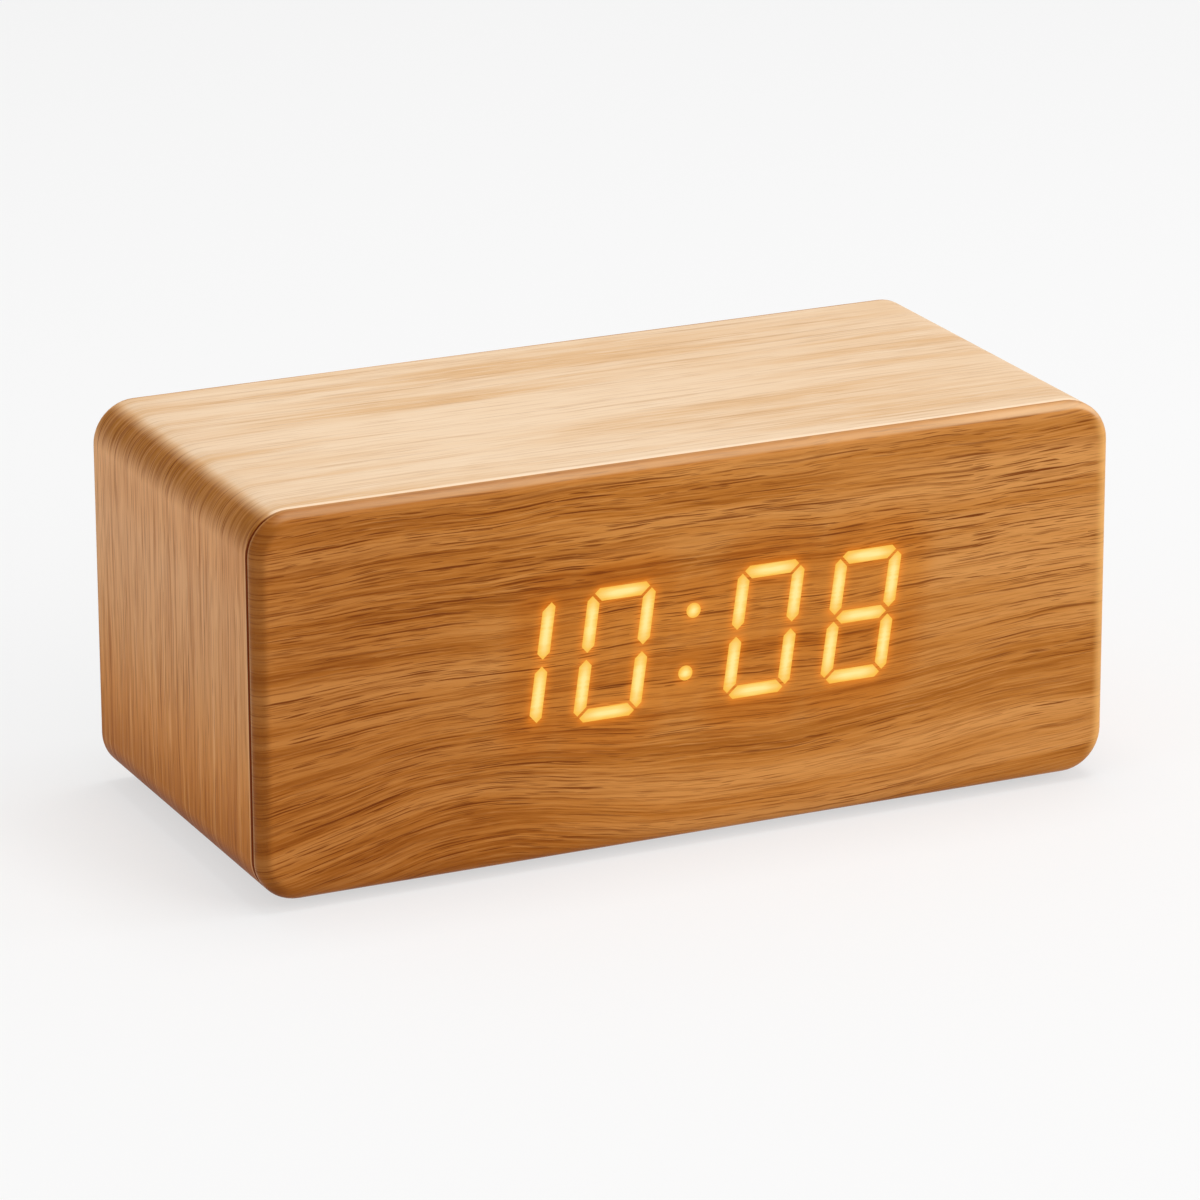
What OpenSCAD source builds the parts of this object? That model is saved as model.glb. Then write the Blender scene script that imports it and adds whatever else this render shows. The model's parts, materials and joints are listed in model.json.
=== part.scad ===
// Wooden block alarm clock whose time glows through the front panel.
// Millimetres. Z is up, the front faces -Y, and the origin lies under the
// middle of the block, at the level that its feet stand on.

/* [Block] */
// Width of the wooden block
case_w = 150; // [126:1:180]
// Depth from the front face to the back edge
case_d = 69; // [66:1:90]
// Height of the block above its feet
case_h = 63.5; // [54:0.5:74]
// Radius of the four long outer corners
corner_r = 7; // [5:0.5:8]
// Thickness of the block's walls
wall_t = 5; // [4:0.25:5.25]
// Easing of the block's front edge
case_edge_r = 0.6; // [0.2:0.1:0.8]
// Height of a rubber foot
foot_h = 1.5; // [1:0.1:3]
// Radius of a rubber foot
foot_r = 5; // [3:0.5:7]

/* [Front panel] */
// Thickness of the panel's visible rim
rim_t = 2.3; // [2:0.1:3]
// Rounding of the panel's front edge
rim_edge_r = 2; // [1:0.1:2]
// Shadow gap between the rim and the block
seam_gap = 0.5; // [0.2:0.05:0.7]
// Length of the plug behind the rim that locates in the block
plug_len = 4; // [3.5:0.1:5]
// Wood left in front of the light
skin_t = 0.6; // [0.4:0.1:0.8]

/* [Display] */
// Hours shown
shown_hours = 10; // [0:1:23]
// Minutes shown
shown_minutes = 8; // [0:1:59]
// Height of a digit between the middles of its bars
digit_h = 19.8; // [17:0.1:20.5]
// Width of a digit between the middles of its bars
digit_w = 9.7; // [8.5:0.1:10.2]
// Width of a lit bar
bar_w = 2.15; // [1.7:0.05:2.4]
// Gap between two bars that meet at a corner
bar_gap = 0.5; // [0.3:0.05:0.7]
// Lean of the digits in degrees
lean_deg = 8; // [0:1:10]
// Distance between the two digits of a pair
digit_pitch = 17.4; // [16:0.1:18]
// Distance between the two digits beside the colon
colon_pitch = 26.3; // [24:0.1:27]
// Radius of a colon dot
dot_r = 1.25; // [0.9:0.05:1.5]
// Height of the display's middle above the middle of the face
display_lift = 1.5; // [0:0.05:2]
// How far the digits stand to the right of the middle of the face
display_shift = -0.8; // [-1.5:0.1:1.5]

/* [Back panel] */
// How deep the back panel sits inside the block
panel_recess = 1.5; // [1.2:0.1:3]
// Thickness of the back panel
panel_t = 2.5; // [2.5:0.1:3.5]
// Thickness of the battery door
door_t = 1.6; // [1.4:0.1:1.7]
// Radius of the hinge pins of the battery door
hinge_pin_r = 0.7; // [0.5:0.05:0.75]

/* [Batteries] */
// Diameter of a battery cell
cell_d = 10.5; // [10:0.1:10.8]
// Length of a battery cell with its nub
cell_len = 44.5; // [40:0.5:53]
// Room that a contact spring takes when the cell is in
spring_len = 4; // [3.6:0.1:4.6]

/* [Controls] */
// Radius of a button cap
button_r = 3; // [2.5:0.1:3.2]
// Travel of a button
button_travel = 0.5; // [0.3:0.05:0.7]
// Travel of the sound slider
slider_travel = 2; // [1.5:0.1:2.4]
// Width of the USB socket's shell
usb_w = 8.94; // [8:0.01:10]
// Height of the USB socket's shell
usb_h = 3.26; // [3:0.01:3.6]

/* [Hidden] */
$fn = 48;
// One overrun serves every cut that must break through a face
cut = 1;
corner_count = 4;
corner_names = [for (i = [1:corner_count]) str(i)];
digit_count = 4;
bar_count = 7;
cell_count = 3;
button_names = ["set", "up", "down"];

// Clearances
panel_fit = 0.3;
plug_fit = 0.2;
mask_fit = 0.5;
door_fit = 0.2;
door_seat_gap = 0.1;
hinge_pin_fit = 0.05;
thread_fit = 0.05;
hole_fit = 0.3;
button_fit = 0.15;
plunger_fit = 0.05;
slider_fit = 0.25;
socket_fit = 0.05;
cell_fit = 0.15;
door_cell_gap = 0.4;
tab_fit = 0.1;

// Levels from the floor up, and from the front to the back
block_mid_z = foot_h + case_h / 2;
display_z = block_mid_z + display_lift;
tube_w = case_w - 2 * wall_t;
tube_h = case_h - 2 * wall_t;
tube_r = 2;
front_y = -case_d / 2;
skin_back_y = front_y + skin_t;
rim_back_y = front_y + rim_t;
case_front_y = rim_back_y + seam_gap;
plug_back_y = rim_back_y + plug_len;
back_y = case_d / 2;
panel_outer_y = back_y - panel_recess;
panel_inner_y = panel_outer_y - panel_t;

// Display mask and main board
mask_border_w = 2;
mask_border_h = 3;
mask_flange_w = 8;
mask_flange_t = 2.4;
board_margin = 3.3;
film_t = 0.2;
board_t = 1.6;
lean = tan(lean_deg);
bar_half = bar_w / 2;
digit_half_w = digit_w / 2;
digit_half_h = digit_h / 2;
bar_mitre = bar_gap / sqrt(2);
bar_tip_share = 0.14;
bar_tip_bias = bar_w * bar_tip_share;
waist_gap = 1.1;
dot_rise_share = 0.52;
colon_drop = 0.2;
pair_reach = colon_pitch / 2 + digit_pitch;
digit_xs = [
    display_shift - pair_reach,
    display_shift - colon_pitch / 2,
    display_shift + colon_pitch / 2,
    display_shift + pair_reach
];
dot_places = [
    for (rise = [-1, 1])
        let (z = rise * digit_half_h * dot_rise_share - colon_drop)
        [display_shift + lean * z, z]
];
shown_digits = [
    floor(shown_hours / 10),
    shown_hours % 10,
    floor(shown_minutes / 10),
    shown_minutes % 10
];
// Bars of each numeral, in the order top, upper right, lower right,
// bottom, lower left, upper left, middle
NUMERALS = [
    [1, 1, 1, 1, 1, 1, 0],
    [0, 1, 1, 0, 0, 0, 0],
    [1, 1, 0, 1, 1, 0, 1],
    [1, 1, 1, 1, 0, 0, 1],
    [0, 1, 1, 0, 0, 1, 1],
    [1, 0, 1, 1, 0, 1, 1],
    [1, 0, 1, 1, 1, 1, 1],
    [1, 1, 1, 0, 0, 0, 0],
    [1, 1, 1, 1, 1, 1, 1],
    [1, 1, 1, 1, 0, 1, 1]
];
display_half_w = pair_reach + digit_half_w + bar_half + lean * digit_half_h;
mask_w = 2 * (display_half_w + abs(display_shift) + mask_border_w);
mask_h = digit_h + bar_w + 2 * mask_border_h;
mask_front_y = skin_back_y + film_t;
mask_back_y = plug_back_y + mask_flange_t;
board_w = mask_w + 2 * mask_flange_w;
board_h = tube_h - 2 * (display_lift + board_margin);
board_back_y = mask_back_y + board_t;
led_l = 1.6;
led_w = 0.8;
led_t = 0.7;

// Small screws of the boards, and the larger ones of the back panel
board_screw = [0.95, 1.9, 1.3];
board_screw_grip = 3;
board_screw_inset = 5;
back_screw = [1.4, 2.8, 1.8];
back_screw_len = 10;
head_sink = 1.2;
head_fit = 0.3;
pilot_extra = 1;
cross_w_share = 0.3;
cross_l_share = 1.3;
cross_t_share = 0.55;

// Corner blocks
corner_block_w = 10;
corner_block_len = 12;
corner_block_x = tube_w / 2 - corner_block_w / 2;
corner_block_z = tube_h / 2 - corner_block_w / 2;

// Feet
foot_inset_x = 15;
foot_inset_y = 10.5;
foot_edge_r = 0.4;

// Parts on the main board, placed from its middle
clock_chip = [18, 7.5, 2.3];
clock_chip_at = [-8, 3];
clock_chip_pin_count = 14;
driver_chip = [10, 4, 1.6];
driver_chip_at = [-8, -11];
driver_chip_pin_count = 8;
chip_standoff = 0.1;
lead_pitch = 1.27;
lead_w = 0.4;
lead_t = 0.2;
lead_out = 0.7;
lead_reach = 1.3;
crystal_size = [10.2, 3.8, 3.5];
crystal_at = [-8, 14];
memory_cell_r = 10;
memory_cell_t = 3.2;
memory_cell_at = [-30, -3];
holder_floor_t = 1;
holder_wall_t = 1.1;
holder_fit = 0.1;
holder_notch_w = 9;
strap_w = 5;
strap_t = 0.3;
capacitor_r = 3.15;
capacitor_h = 5.4;
capacitor_at = [10, -12];
capacitor_neck_r = 0.35;
ribbon_socket = [14, 5, 4];
ribbon_w = 12;
ribbon_t = 0.9;
ribbon_bend_r = 3;

// Battery bay
cell_r = cell_d / 2;
cell_gap = 0.7;
cell_pitch = cell_d + cell_gap;
nub_r = 1.9;
nub_len = 1.2;
cell_rim_r = 0.5;
contact_t = 0.4;
contact_w = 8.4;
contact_h = 9;
tab_w = 3;
tab_len = 2;
tray_wall_t = 1.2;
tray_rib_t = 1;
tray_rib_h = 3;
tray_gap = 1;
bay_len = cell_len + spring_len + 2 * contact_t;
bay_h = cell_count * cell_pitch;
bay_x0 = corner_block_w - tube_w / 2 + tray_gap + tray_wall_t;
bay_x1 = bay_x0 + bay_len;
bay_top = block_mid_z + bay_h / 2;
bay_bottom = block_mid_z - bay_h / 2;
door_inner_y = panel_outer_y - door_t;
cell_y = door_inner_y - door_cell_gap - cell_r;
floor_y = cell_y - cell_r - cell_fit;
tray_back_y = floor_y - tray_wall_t;
contact_x = [bay_x0, bay_x1 - contact_t];
tab_end_y = tray_back_y - tab_len;

// Contact springs
spring_wire_r = 0.25;
spring_base_r = 3.4;
spring_tip_r = 2.2;
spring_curls = 3;
spring_rings = 8;
spring_sides = 6;
spring_seat = 0.05;

// Battery door and its hinge
door_lap = 1.6;
hinge_r = 1.1;
hinge_rise = 1.6;
hinge_wall_t = 3.2;
hinge_pin_len = 1.6;
hinge_y = panel_outer_y - hinge_r;
hinge_z = bay_top + hinge_rise;
door_x0 = bay_x0 - door_lap;
door_x1 = bay_x1 + door_lap;
door_z0 = bay_bottom - door_lap;
door_mid_x = (door_x0 + door_x1) / 2;
tongue_w = 9;
tongue_len = 7;
tongue_slot_w = 0.8;
grip_count = 3;
grip_pitch = 1.6;
grip_w = 6;
grip_t = 0.7;
grip_h = 0.4;
scoop_r = 6;
scoop_depth = 1.2;

// Switch board, in the room that the battery tray leaves beside it
board_gap = 1.5;
post_len = 8;
post_r = 2.2;
post_inset = 3.5;
switch_board_x0 = bay_x1 + tray_wall_t + board_gap;
switch_board_x1 = tube_w / 2 - corner_block_w - board_gap;
switch_board_w = switch_board_x1 - switch_board_x0;
switch_board_x = (switch_board_x0 + switch_board_x1) / 2;
switch_board_h = 40;
switch_rear_y = panel_inner_y - post_len;
switch_front_y = switch_rear_y - board_t;
post_x = switch_board_w / 2 - post_inset;
post_z = switch_board_h / 2 - post_inset;
buttons_rise = 9;
button_z = block_mid_z + buttons_rise;
switch_w = 6;
switch_h = 3.5;
plunger_r = 1.75;
plunger_out = 1.5;
plunger_in = 1;
collar_r = 4;
collar_t = 0.8;
collar_gap = 0.2;
button_stem_r = 2.2;
button_proud = 0.8;
button_edge_r = 0.5;
slider_housing = [8.6, 4.4, 4.2];
slider_slot_depth = 2.5;
slider_stem_w = 1.8;
slider_shoe = [8, 5, 0.7];
slider_knob = [2.6, 2.8];
slider_groove_w = 0.4;
slider_groove_t = 0.3;
usb_drop = 10;
usb_mouth_gap = 0.5;
usb_corner_r = 1.4;
usb_shell_t = 0.3;
usb_base_t = 4;
usb_tongue_w = 6.69;
usb_tongue_t = 0.7;
usb_tongue_gap = 0.8;
microphone_r = 3;
microphone_h = 2.7;
microphone_drop = 9;
microphone_ring_t = 1.2;
microphone_ring_h = 2.2;
microphone_hole_r = 0.6;
microphone_pin_r = 0.25;
microphone_pin_gap = 1.27;
buzzer_r = 6;
buzzer_h = 6.5;
buzzer_drop = 8;
buzzer_hole_r = 1.2;
sound_hole_r = 0.7;
sound_hole_pitch = 2.4;
sound_hole_count = 6;

// The controls stand in two rows. A row's shares say how much of its spare
// length lies before each part, and the rest lies after the last one.
upper_row = [2 * collar_r, 2 * collar_r, 2 * collar_r, slider_shoe[0] + slider_travel];
upper_row_shares = [0.54, 0.13, 0.13, 0.1];
lower_row = [
    2 * buzzer_r,
    usb_w + 2 * hole_fit,
    2 * (microphone_r + socket_fit + microphone_ring_t)
];
lower_row_shares = [0.46, 0.13, 0.2];
upper_row_x = row_places(upper_row, upper_row_shares);
lower_row_x = row_places(lower_row, lower_row_shares);
slider_x = upper_row_x[3];
buzzer_at = [lower_row_x[0], block_mid_z - buzzer_drop];
usb_at = [lower_row_x[1], block_mid_z - usb_drop];
microphone_at = [lower_row_x[2], block_mid_z - microphone_drop];

// Wires of the batteries
wire_r = 0.6;
wire_sides = 8;
wire_bend = 1.8;
wire_bend_steps = 4;

foot_names = [for (n = corner_names) str("foot_", n)];
corner_block_names = [for (n = corner_names) str("corner_block_", n)];
cell_names = [for (i = [1:cell_count]) str("battery_", i)];
spring_names = [for (i = [1:cell_count]) str("contact_spring_", i)];
contact_names = [for (i = [1:cell_count + 1]) str("contact_plate_", i)];
switch_names = [for (n = button_names) str(n, "_switch")];
plunger_names = [for (n = button_names) str(n, "_plunger")];
cap_names = [for (n = button_names) str(n, "_button")];

// Shapes shared by several parts

// Extrudes an outline drawn in X and Z, from y0 back to y1
module y_slab(y0, y1) {
    translate([0, y1, 0])
        rotate([90, 0, 0])
            linear_extrude(y1 - y0)
                children();
}

// Extrudes an outline drawn in Y and Z, from x0 to x1
module x_slab(x0, x1) {
    translate([x0, 0, 0])
        rotate([90, 0, 90])
            linear_extrude(x1 - x0)
                children();
}

// Round rod along Y at [x, z]
module y_rod(at, r, y0, y1) {
    translate([at[0], y0, at[1]])
        rotate([-90, 0, 0])
            cylinder(r = r, h = y1 - y0);
}

// Round rod along X at [y, z]
module x_rod(at, r, x0, x1) {
    translate([x0, at[0], at[1]])
        rotate([0, 90, 0])
            cylinder(r = r, h = x1 - x0);
}

// Turned body along Y at [x, z], drawn as radius and depth from y0
module y_turned(at, y0) {
    translate([at[0], y0, at[1]])
        rotate([-90, 0, 0])
            rotate_extrude()
                children();
}

// Box between two corners
module box(low, high) {
    translate(low)
        cube(high - low);
}

// Rectangle about the origin with round corners
module rounded_rect(w, h, r) {
    square([w - 2 * r, h], center = true);
    square([w, h - 2 * r], center = true);
    for (x = [-1, 1], z = [-1, 1])
        translate([x * (w / 2 - r), z * (h / 2 - r)])
            circle(r);
}

// Section through a slab's rim: its far upper corner is rounded by e
module rim_section(r, t, e) {
    square([r - e, t]);
    square([r, t - e]);
    translate([r - e, t - e])
        intersection() {
            circle(e);
            square(e);
        }
}

// Slab with round corners of radius r and a rim rounded by e at its top
module rounded_slab(w, h, r, t, e) {
    flat_w = w - 2 * r;
    flat_h = h - 2 * r;
    translate([-flat_w / 2, -flat_h / 2, 0])
        cube([flat_w, flat_h, t]);
    for (turn = [0, 180])
        rotate([0, 0, turn]) {
            translate([flat_w / 2, flat_h / 2, 0])
                rotate([90, 0, 0])
                    linear_extrude(flat_h)
                        rim_section(r, t, e);
            rotate([0, 0, 90])
                translate([flat_h / 2, flat_w / 2, 0])
                    rotate([90, 0, 0])
                        linear_extrude(flat_w)
                            rim_section(r, t, e);
            translate([flat_w / 2, flat_h / 2, 0])
                rotate_extrude(angle = 90)
                    rim_section(r, t, e);
            translate([-flat_w / 2, flat_h / 2, 0])
                rotate([0, 0, 90])
                    rotate_extrude(angle = 90)
                        rim_section(r, t, e);
        }
}

// Places each child at the four corners of a rectangle in X and Z
module at_corners(x, z) {
    for (side = [-1, 1], rise = [-1, 1])
        translate([side * x, 0, rise * z])
            children();
}

// Pan head screw along Y at [x, z]. Its head ends at head_y and sticks out
// towards out_dir, and size is [shank radius, head radius, head height].
module pan_screw(at, head_y, out_dir, shank_len, size) {
    shank_r = size[0];
    head_r = size[1];
    head_h = size[2];
    cross_l = head_r * cross_l_share;
    cross_w = head_r * cross_w_share;
    cross_t = head_h * cross_t_share;
    dome_r = head_h / 2;
    translate([at[0], head_y, at[1]])
        rotate([out_dir > 0 ? -90 : 90, 0, 0])
            difference() {
                union() {
                    rotate_extrude() {
                        square([head_r, head_h - dome_r]);
                        square([head_r - dome_r, head_h]);
                        translate([head_r - dome_r, head_h - dome_r])
                            circle(dome_r);
                    }
                    translate([0, 0, -shank_len])
                        cylinder(r = shank_r, h = shank_len);
                }
                for (turn = [0, 90])
                    rotate([0, 0, turn])
                        translate([-cross_l / 2, -cross_w / 2, head_h - cross_t])
                            cube([cross_l, cross_w, cross_t + cut]);
            }
}

// Points of a lit bar about the middle of its digit, before it leans
function top_bar() = [
    [digit_half_w - bar_mitre + bar_tip_bias, digit_half_h + bar_tip_bias],
    [digit_half_w - bar_mitre + 2 * bar_tip_bias - bar_half, digit_half_h + bar_half],
    [-digit_half_w + bar_mitre - 2 * bar_tip_bias + bar_half, digit_half_h + bar_half],
    [-digit_half_w + bar_mitre - bar_tip_bias, digit_half_h + bar_tip_bias],
    [-digit_half_w + bar_mitre + bar_half, digit_half_h - bar_half],
    [digit_half_w - bar_mitre - bar_half, digit_half_h - bar_half]
];
function middle_bar() = [
    [digit_half_w - bar_mitre, 0],
    [digit_half_w - bar_mitre - bar_half, bar_half],
    [-digit_half_w + bar_mitre + bar_half, bar_half],
    [-digit_half_w + bar_mitre, 0],
    [-digit_half_w + bar_mitre + bar_half, -bar_half],
    [digit_half_w - bar_mitre - bar_half, -bar_half]
];
function side_bar() = [
    [digit_half_w + bar_tip_bias, digit_half_h - bar_mitre + bar_tip_bias],
    [digit_half_w + bar_half, digit_half_h - bar_mitre + 2 * bar_tip_bias - bar_half],
    [digit_half_w + bar_half, waist_gap / 2 + bar_half],
    [digit_half_w, waist_gap / 2],
    [digit_half_w - bar_half, waist_gap / 2 + bar_half],
    [digit_half_w - bar_half, digit_half_h - bar_mitre - bar_half]
];
function mirrored(points, x, z) = [for (p = points) [x * p[0], z * p[1]]];
function bar_points(bar) =
    bar == 0 ? top_bar() :
    bar == 1 ? side_bar() :
    bar == 2 ? mirrored(side_bar(), 1, -1) :
    bar == 3 ? mirrored(top_bar(), 1, -1) :
    bar == 4 ? mirrored(side_bar(), -1, -1) :
    bar == 5 ? mirrored(side_bar(), -1, 1) :
    middle_bar();
function leaned(p) = [p[0] + lean * p[1], p[1]];
function mean(points) = [for (i = [0:1]) sum([for (p = points) p[i]]) / len(points)];
function sum(values, i = 0) = i < len(values) ? values[i] + sum(values, i + 1) : 0;
function sum_to(values, last) = sum([for (i = [0:last]) values[i]]);
// Middles of the parts of a row of controls
function row_places(widths, shares) =
    let (spare = switch_board_w - sum(widths))
    [
        for (i = [0:len(widths) - 1])
            switch_board_x0 + spare * sum_to(shares, i) + sum_to(widths, i) - widths[i] / 2
    ];
function is_lit(digit, bar) = NUMERALS[shown_digits[digit]][bar] == 1;

// Outline of one bar of one digit, on the face
module bar_outline(digit, bar) {
    translate([digit_xs[digit], display_z])
        polygon([for (p = bar_points(bar)) leaned(p)]);
}

module dot_outlines() {
    for (at = dot_places)
        translate([at[0], display_z + at[1]])
            circle(dot_r);
}

module lit_outlines() {
    for (digit = [0:digit_count - 1], bar = [0:bar_count - 1])
        if (is_lit(digit, bar))
            bar_outline(digit, bar);
    dot_outlines();
}

module all_bar_outlines() {
    for (digit = [0:digit_count - 1], bar = [0:bar_count - 1])
        bar_outline(digit, bar);
    dot_outlines();
}

// Swept tubes for springs and wires
function unit(v) = v / norm(v);
function tangents(path) = [
    for (i = [0:len(path) - 1])
        unit(path[min(i + 1, len(path) - 1)] - path[max(i - 1, 0)])
];
function carried(along, side, i = 0) =
    i >= len(along) ? [] :
    let (s = unit(side - (side * along[i]) * along[i]))
    concat([s], carried(along, s, i + 1));
function tube_points(path, r, sides, side) =
    let (along = tangents(path), across = carried(along, side))
    [
        for (i = [0:len(path) - 1], k = [0:sides - 1])
            let (a = 360 * k / sides)
            path[i] + r * (cos(a) * across[i] + sin(a) * cross(along[i], across[i]))
    ];
function tube_faces(rings, sides) = concat(
    [for (k = [1:sides - 2]) [0, k, k + 1]],
    [for (k = [1:sides - 2]) let (e = (rings - 1) * sides) [e, e + k + 1, e + k]],
    [
        for (i = [0:rings - 2], k = [0:sides - 1], half = [0, 1])
            let (a = i * sides + k, b = i * sides + (k + 1) % sides)
            half == 0 ? [a, a + sides, b] : [b, a + sides, b + sides]
    ]
);
module tube(path, r, sides, side) {
    polyhedron(tube_points(path, r, sides, side), tube_faces(len(path), sides));
}

// A route's corners, each rounded over the length bend on both sides
function rounded_route(route, bend) = concat(
    [route[0]],
    [
        for (i = [1:len(route) - 2], s = [0:wire_bend_steps])
            let (
                f = s / wire_bend_steps,
                a = route[i] + bend * unit(route[i - 1] - route[i]),
                c = route[i] + bend * unit(route[i + 1] - route[i])
            )
            (1 - f) * (1 - f) * a + 2 * f * (1 - f) * route[i] + f * f * c
    ],
    [route[len(route) - 1]]
);

// The block

module case_shell() {
    color("burlywood")
        difference() {
            translate([0, back_y, block_mid_z])
                rotate([90, 0, 0])
                    rounded_slab(case_w, case_h, corner_r, back_y - case_front_y, case_edge_r);
            y_slab(case_front_y - cut, back_y + cut)
                translate([0, block_mid_z])
                    rounded_rect(tube_w, tube_h, tube_r);
        }
}

module corner_block(i) {
    side = i % 2 == 0 ? -1 : 1;
    rise = i < 2 ? -1 : 1;
    half = corner_block_w / 2;
    color("tan")
        difference() {
            y_slab(panel_inner_y - corner_block_len, panel_inner_y)
                translate([side * corner_block_x, block_mid_z + rise * corner_block_z])
                    polygon(mirrored([
                        [-half, -half],
                        [half, -half],
                        [half, half - tube_r],
                        [half - tube_r, half],
                        [-half, half]
                    ], side, rise));
            y_rod(
                [side * corner_block_x, block_mid_z + rise * corner_block_z],
                back_screw[0] + thread_fit,
                panel_outer_y - head_sink - back_screw_len - pilot_extra,
                panel_inner_y + cut
            );
        }
}

module foot(i) {
    side = i % 2 == 0 ? -1 : 1;
    rise = i < 2 ? -1 : 1;
    color("dimgray")
        translate([
            side * (case_w / 2 - foot_inset_x),
            rise * (case_d / 2 - foot_inset_y),
            0
        ])
            rotate_extrude() {
                square([foot_r - foot_edge_r, foot_h]);
                translate([0, foot_edge_r])
                    square([foot_r, foot_h - foot_edge_r]);
                translate([foot_r - foot_edge_r, foot_edge_r])
                    circle(foot_edge_r);
            }
}

// The front panel and the display behind it

module front_panel() {
    color("peru")
        difference() {
            union() {
                translate([0, rim_back_y, block_mid_z])
                    rotate([90, 0, 0])
                        rounded_slab(case_w, case_h, corner_r, rim_t, rim_edge_r);
                y_slab(rim_back_y, plug_back_y)
                    translate([0, block_mid_z])
                        rounded_rect(tube_w - 2 * plug_fit, tube_h - 2 * plug_fit, tube_r);
            }
            y_slab(skin_back_y, plug_back_y + cut)
                translate([0, display_z])
                    square([mask_w + 2 * mask_fit, mask_h + 2 * mask_fit], center = true);
            y_slab(front_y - cut, skin_back_y + cut)
                lit_outlines();
            translate([0, 0, display_z])
                at_corners(board_w / 2 - board_screw_inset, board_h / 2 - board_screw_inset)
                    y_rod(
                        [0, 0],
                        board_screw[0] + thread_fit,
                        plug_back_y - board_screw_grip - pilot_extra,
                        plug_back_y + cut
                    );
        }
}

module lit_digits() {
    color("gold")
        y_slab(front_y, skin_back_y)
            lit_outlines();
}

module diffuser_film() {
    color("whitesmoke")
        y_slab(skin_back_y, mask_front_y)
            translate([0, display_z])
                square([mask_w, mask_h], center = true);
}

module display_mask() {
    color("dimgray")
        difference() {
            union() {
                y_slab(mask_front_y, plug_back_y)
                    translate([0, display_z])
                        square([mask_w, mask_h], center = true);
                y_slab(plug_back_y, mask_back_y)
                    translate([0, display_z])
                        square([board_w, board_h], center = true);
            }
            y_slab(mask_front_y - cut, mask_back_y + cut)
                all_bar_outlines();
            translate([0, 0, display_z])
                at_corners(board_w / 2 - board_screw_inset, board_h / 2 - board_screw_inset)
                    y_rod([0, 0], board_screw[0] + hole_fit, plug_back_y - cut, mask_back_y + cut);
        }
}

module led_at(at, upright) {
    w = upright ? led_w : led_l;
    h = upright ? led_l : led_w;
    translate([at[0] - w / 2, mask_back_y - led_t, at[1] - h / 2])
        cube([w, led_t, h]);
}

module segment_leds() {
    color("khaki") {
        for (digit = [0:digit_count - 1], bar = [0:bar_count - 1]) {
            at = leaned(mean(bar_points(bar)));
            led_at([digit_xs[digit] + at[0], display_z + at[1]], bar % 3 != 0);
        }
        for (at = dot_places)
            led_at([at[0], display_z + at[1]], false);
    }
}

module main_board() {
    color("darkgreen")
        difference() {
            y_slab(mask_back_y, board_back_y)
                translate([0, display_z])
                    square([board_w, board_h], center = true);
            translate([0, 0, display_z])
                at_corners(board_w / 2 - board_screw_inset, board_h / 2 - board_screw_inset)
                    y_rod([0, 0], board_screw[0] + hole_fit, mask_back_y - cut, board_back_y + cut);
        }
}

module board_screws() {
    color("silver")
        translate([0, 0, display_z])
            at_corners(board_w / 2 - board_screw_inset, board_h / 2 - board_screw_inset)
                pan_screw(
                    [0, 0],
                    board_back_y,
                    1,
                    board_t + mask_flange_t + board_screw_grip,
                    board_screw
                );
}

module chip_body(size, at) {
    translate([at[0] - size[0] / 2, board_back_y + chip_standoff, display_z + at[1] - size[1] / 2])
        cube([size[0], size[2], size[1]]);
}

// Gull wing leads along both long sides of a chip
module chip_lead_rows(size, at, pin_count) {
    mid = chip_standoff + size[2] / 2;
    for (side = [-1, 1], i = [0:pin_count - 1])
        translate([at[0] + (i - (pin_count - 1) / 2) * lead_pitch, board_back_y, display_z + at[1]])
            mirror([0, 0, side < 0 ? 1 : 0])
                translate([0, 0, size[1] / 2])
                    x_slab(-lead_w / 2, lead_w / 2)
                        polygon([
                            [mid - lead_t / 2, 0],
                            [mid - lead_t / 2, lead_out],
                            [0, lead_out],
                            [0, lead_reach],
                            [lead_t, lead_reach],
                            [lead_t, lead_out + lead_t],
                            [mid + lead_t / 2, lead_out + lead_t],
                            [mid + lead_t / 2, 0]
                        ]);
}

module clock_chip() {
    color("dimgray")
        chip_body(clock_chip, clock_chip_at);
}

module driver_chip() {
    color("gray")
        chip_body(driver_chip, driver_chip_at);
}

module chip_leads() {
    color("silver") {
        chip_lead_rows(clock_chip, clock_chip_at, clock_chip_pin_count);
        chip_lead_rows(driver_chip, driver_chip_at, driver_chip_pin_count);
    }
}

module crystal_can() {
    color("lightsteelblue")
        y_slab(board_back_y, board_back_y + crystal_size[2])
            translate([crystal_at[0], display_z + crystal_at[1]]) {
                square([crystal_size[0] - crystal_size[1], crystal_size[1]], center = true);
                for (side = [-1, 1])
                    translate([side * (crystal_size[0] - crystal_size[1]) / 2, 0])
                        circle(crystal_size[1] / 2);
            }
}

module memory_cell_holder() {
    at = [memory_cell_at[0], display_z + memory_cell_at[1]];
    pocket_r = memory_cell_r + holder_fit;
    rim_y = board_back_y + holder_floor_t + memory_cell_t - strap_t;
    color("dimgray")
        difference() {
            y_rod(at, pocket_r + holder_wall_t, board_back_y, rim_y);
            y_rod(at, pocket_r, board_back_y + holder_floor_t, rim_y + cut);
            translate([at[0] - holder_notch_w / 2, board_back_y + holder_floor_t, at[1]])
                cube([holder_notch_w, memory_cell_t + cut, pocket_r + holder_wall_t + cut]);
        }
}

module memory_cell() {
    at = [memory_cell_at[0], display_z + memory_cell_at[1]];
    y0 = board_back_y + holder_floor_t;
    color("silver")
        y_rod(at, memory_cell_r, y0, y0 + memory_cell_t);
}

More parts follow.
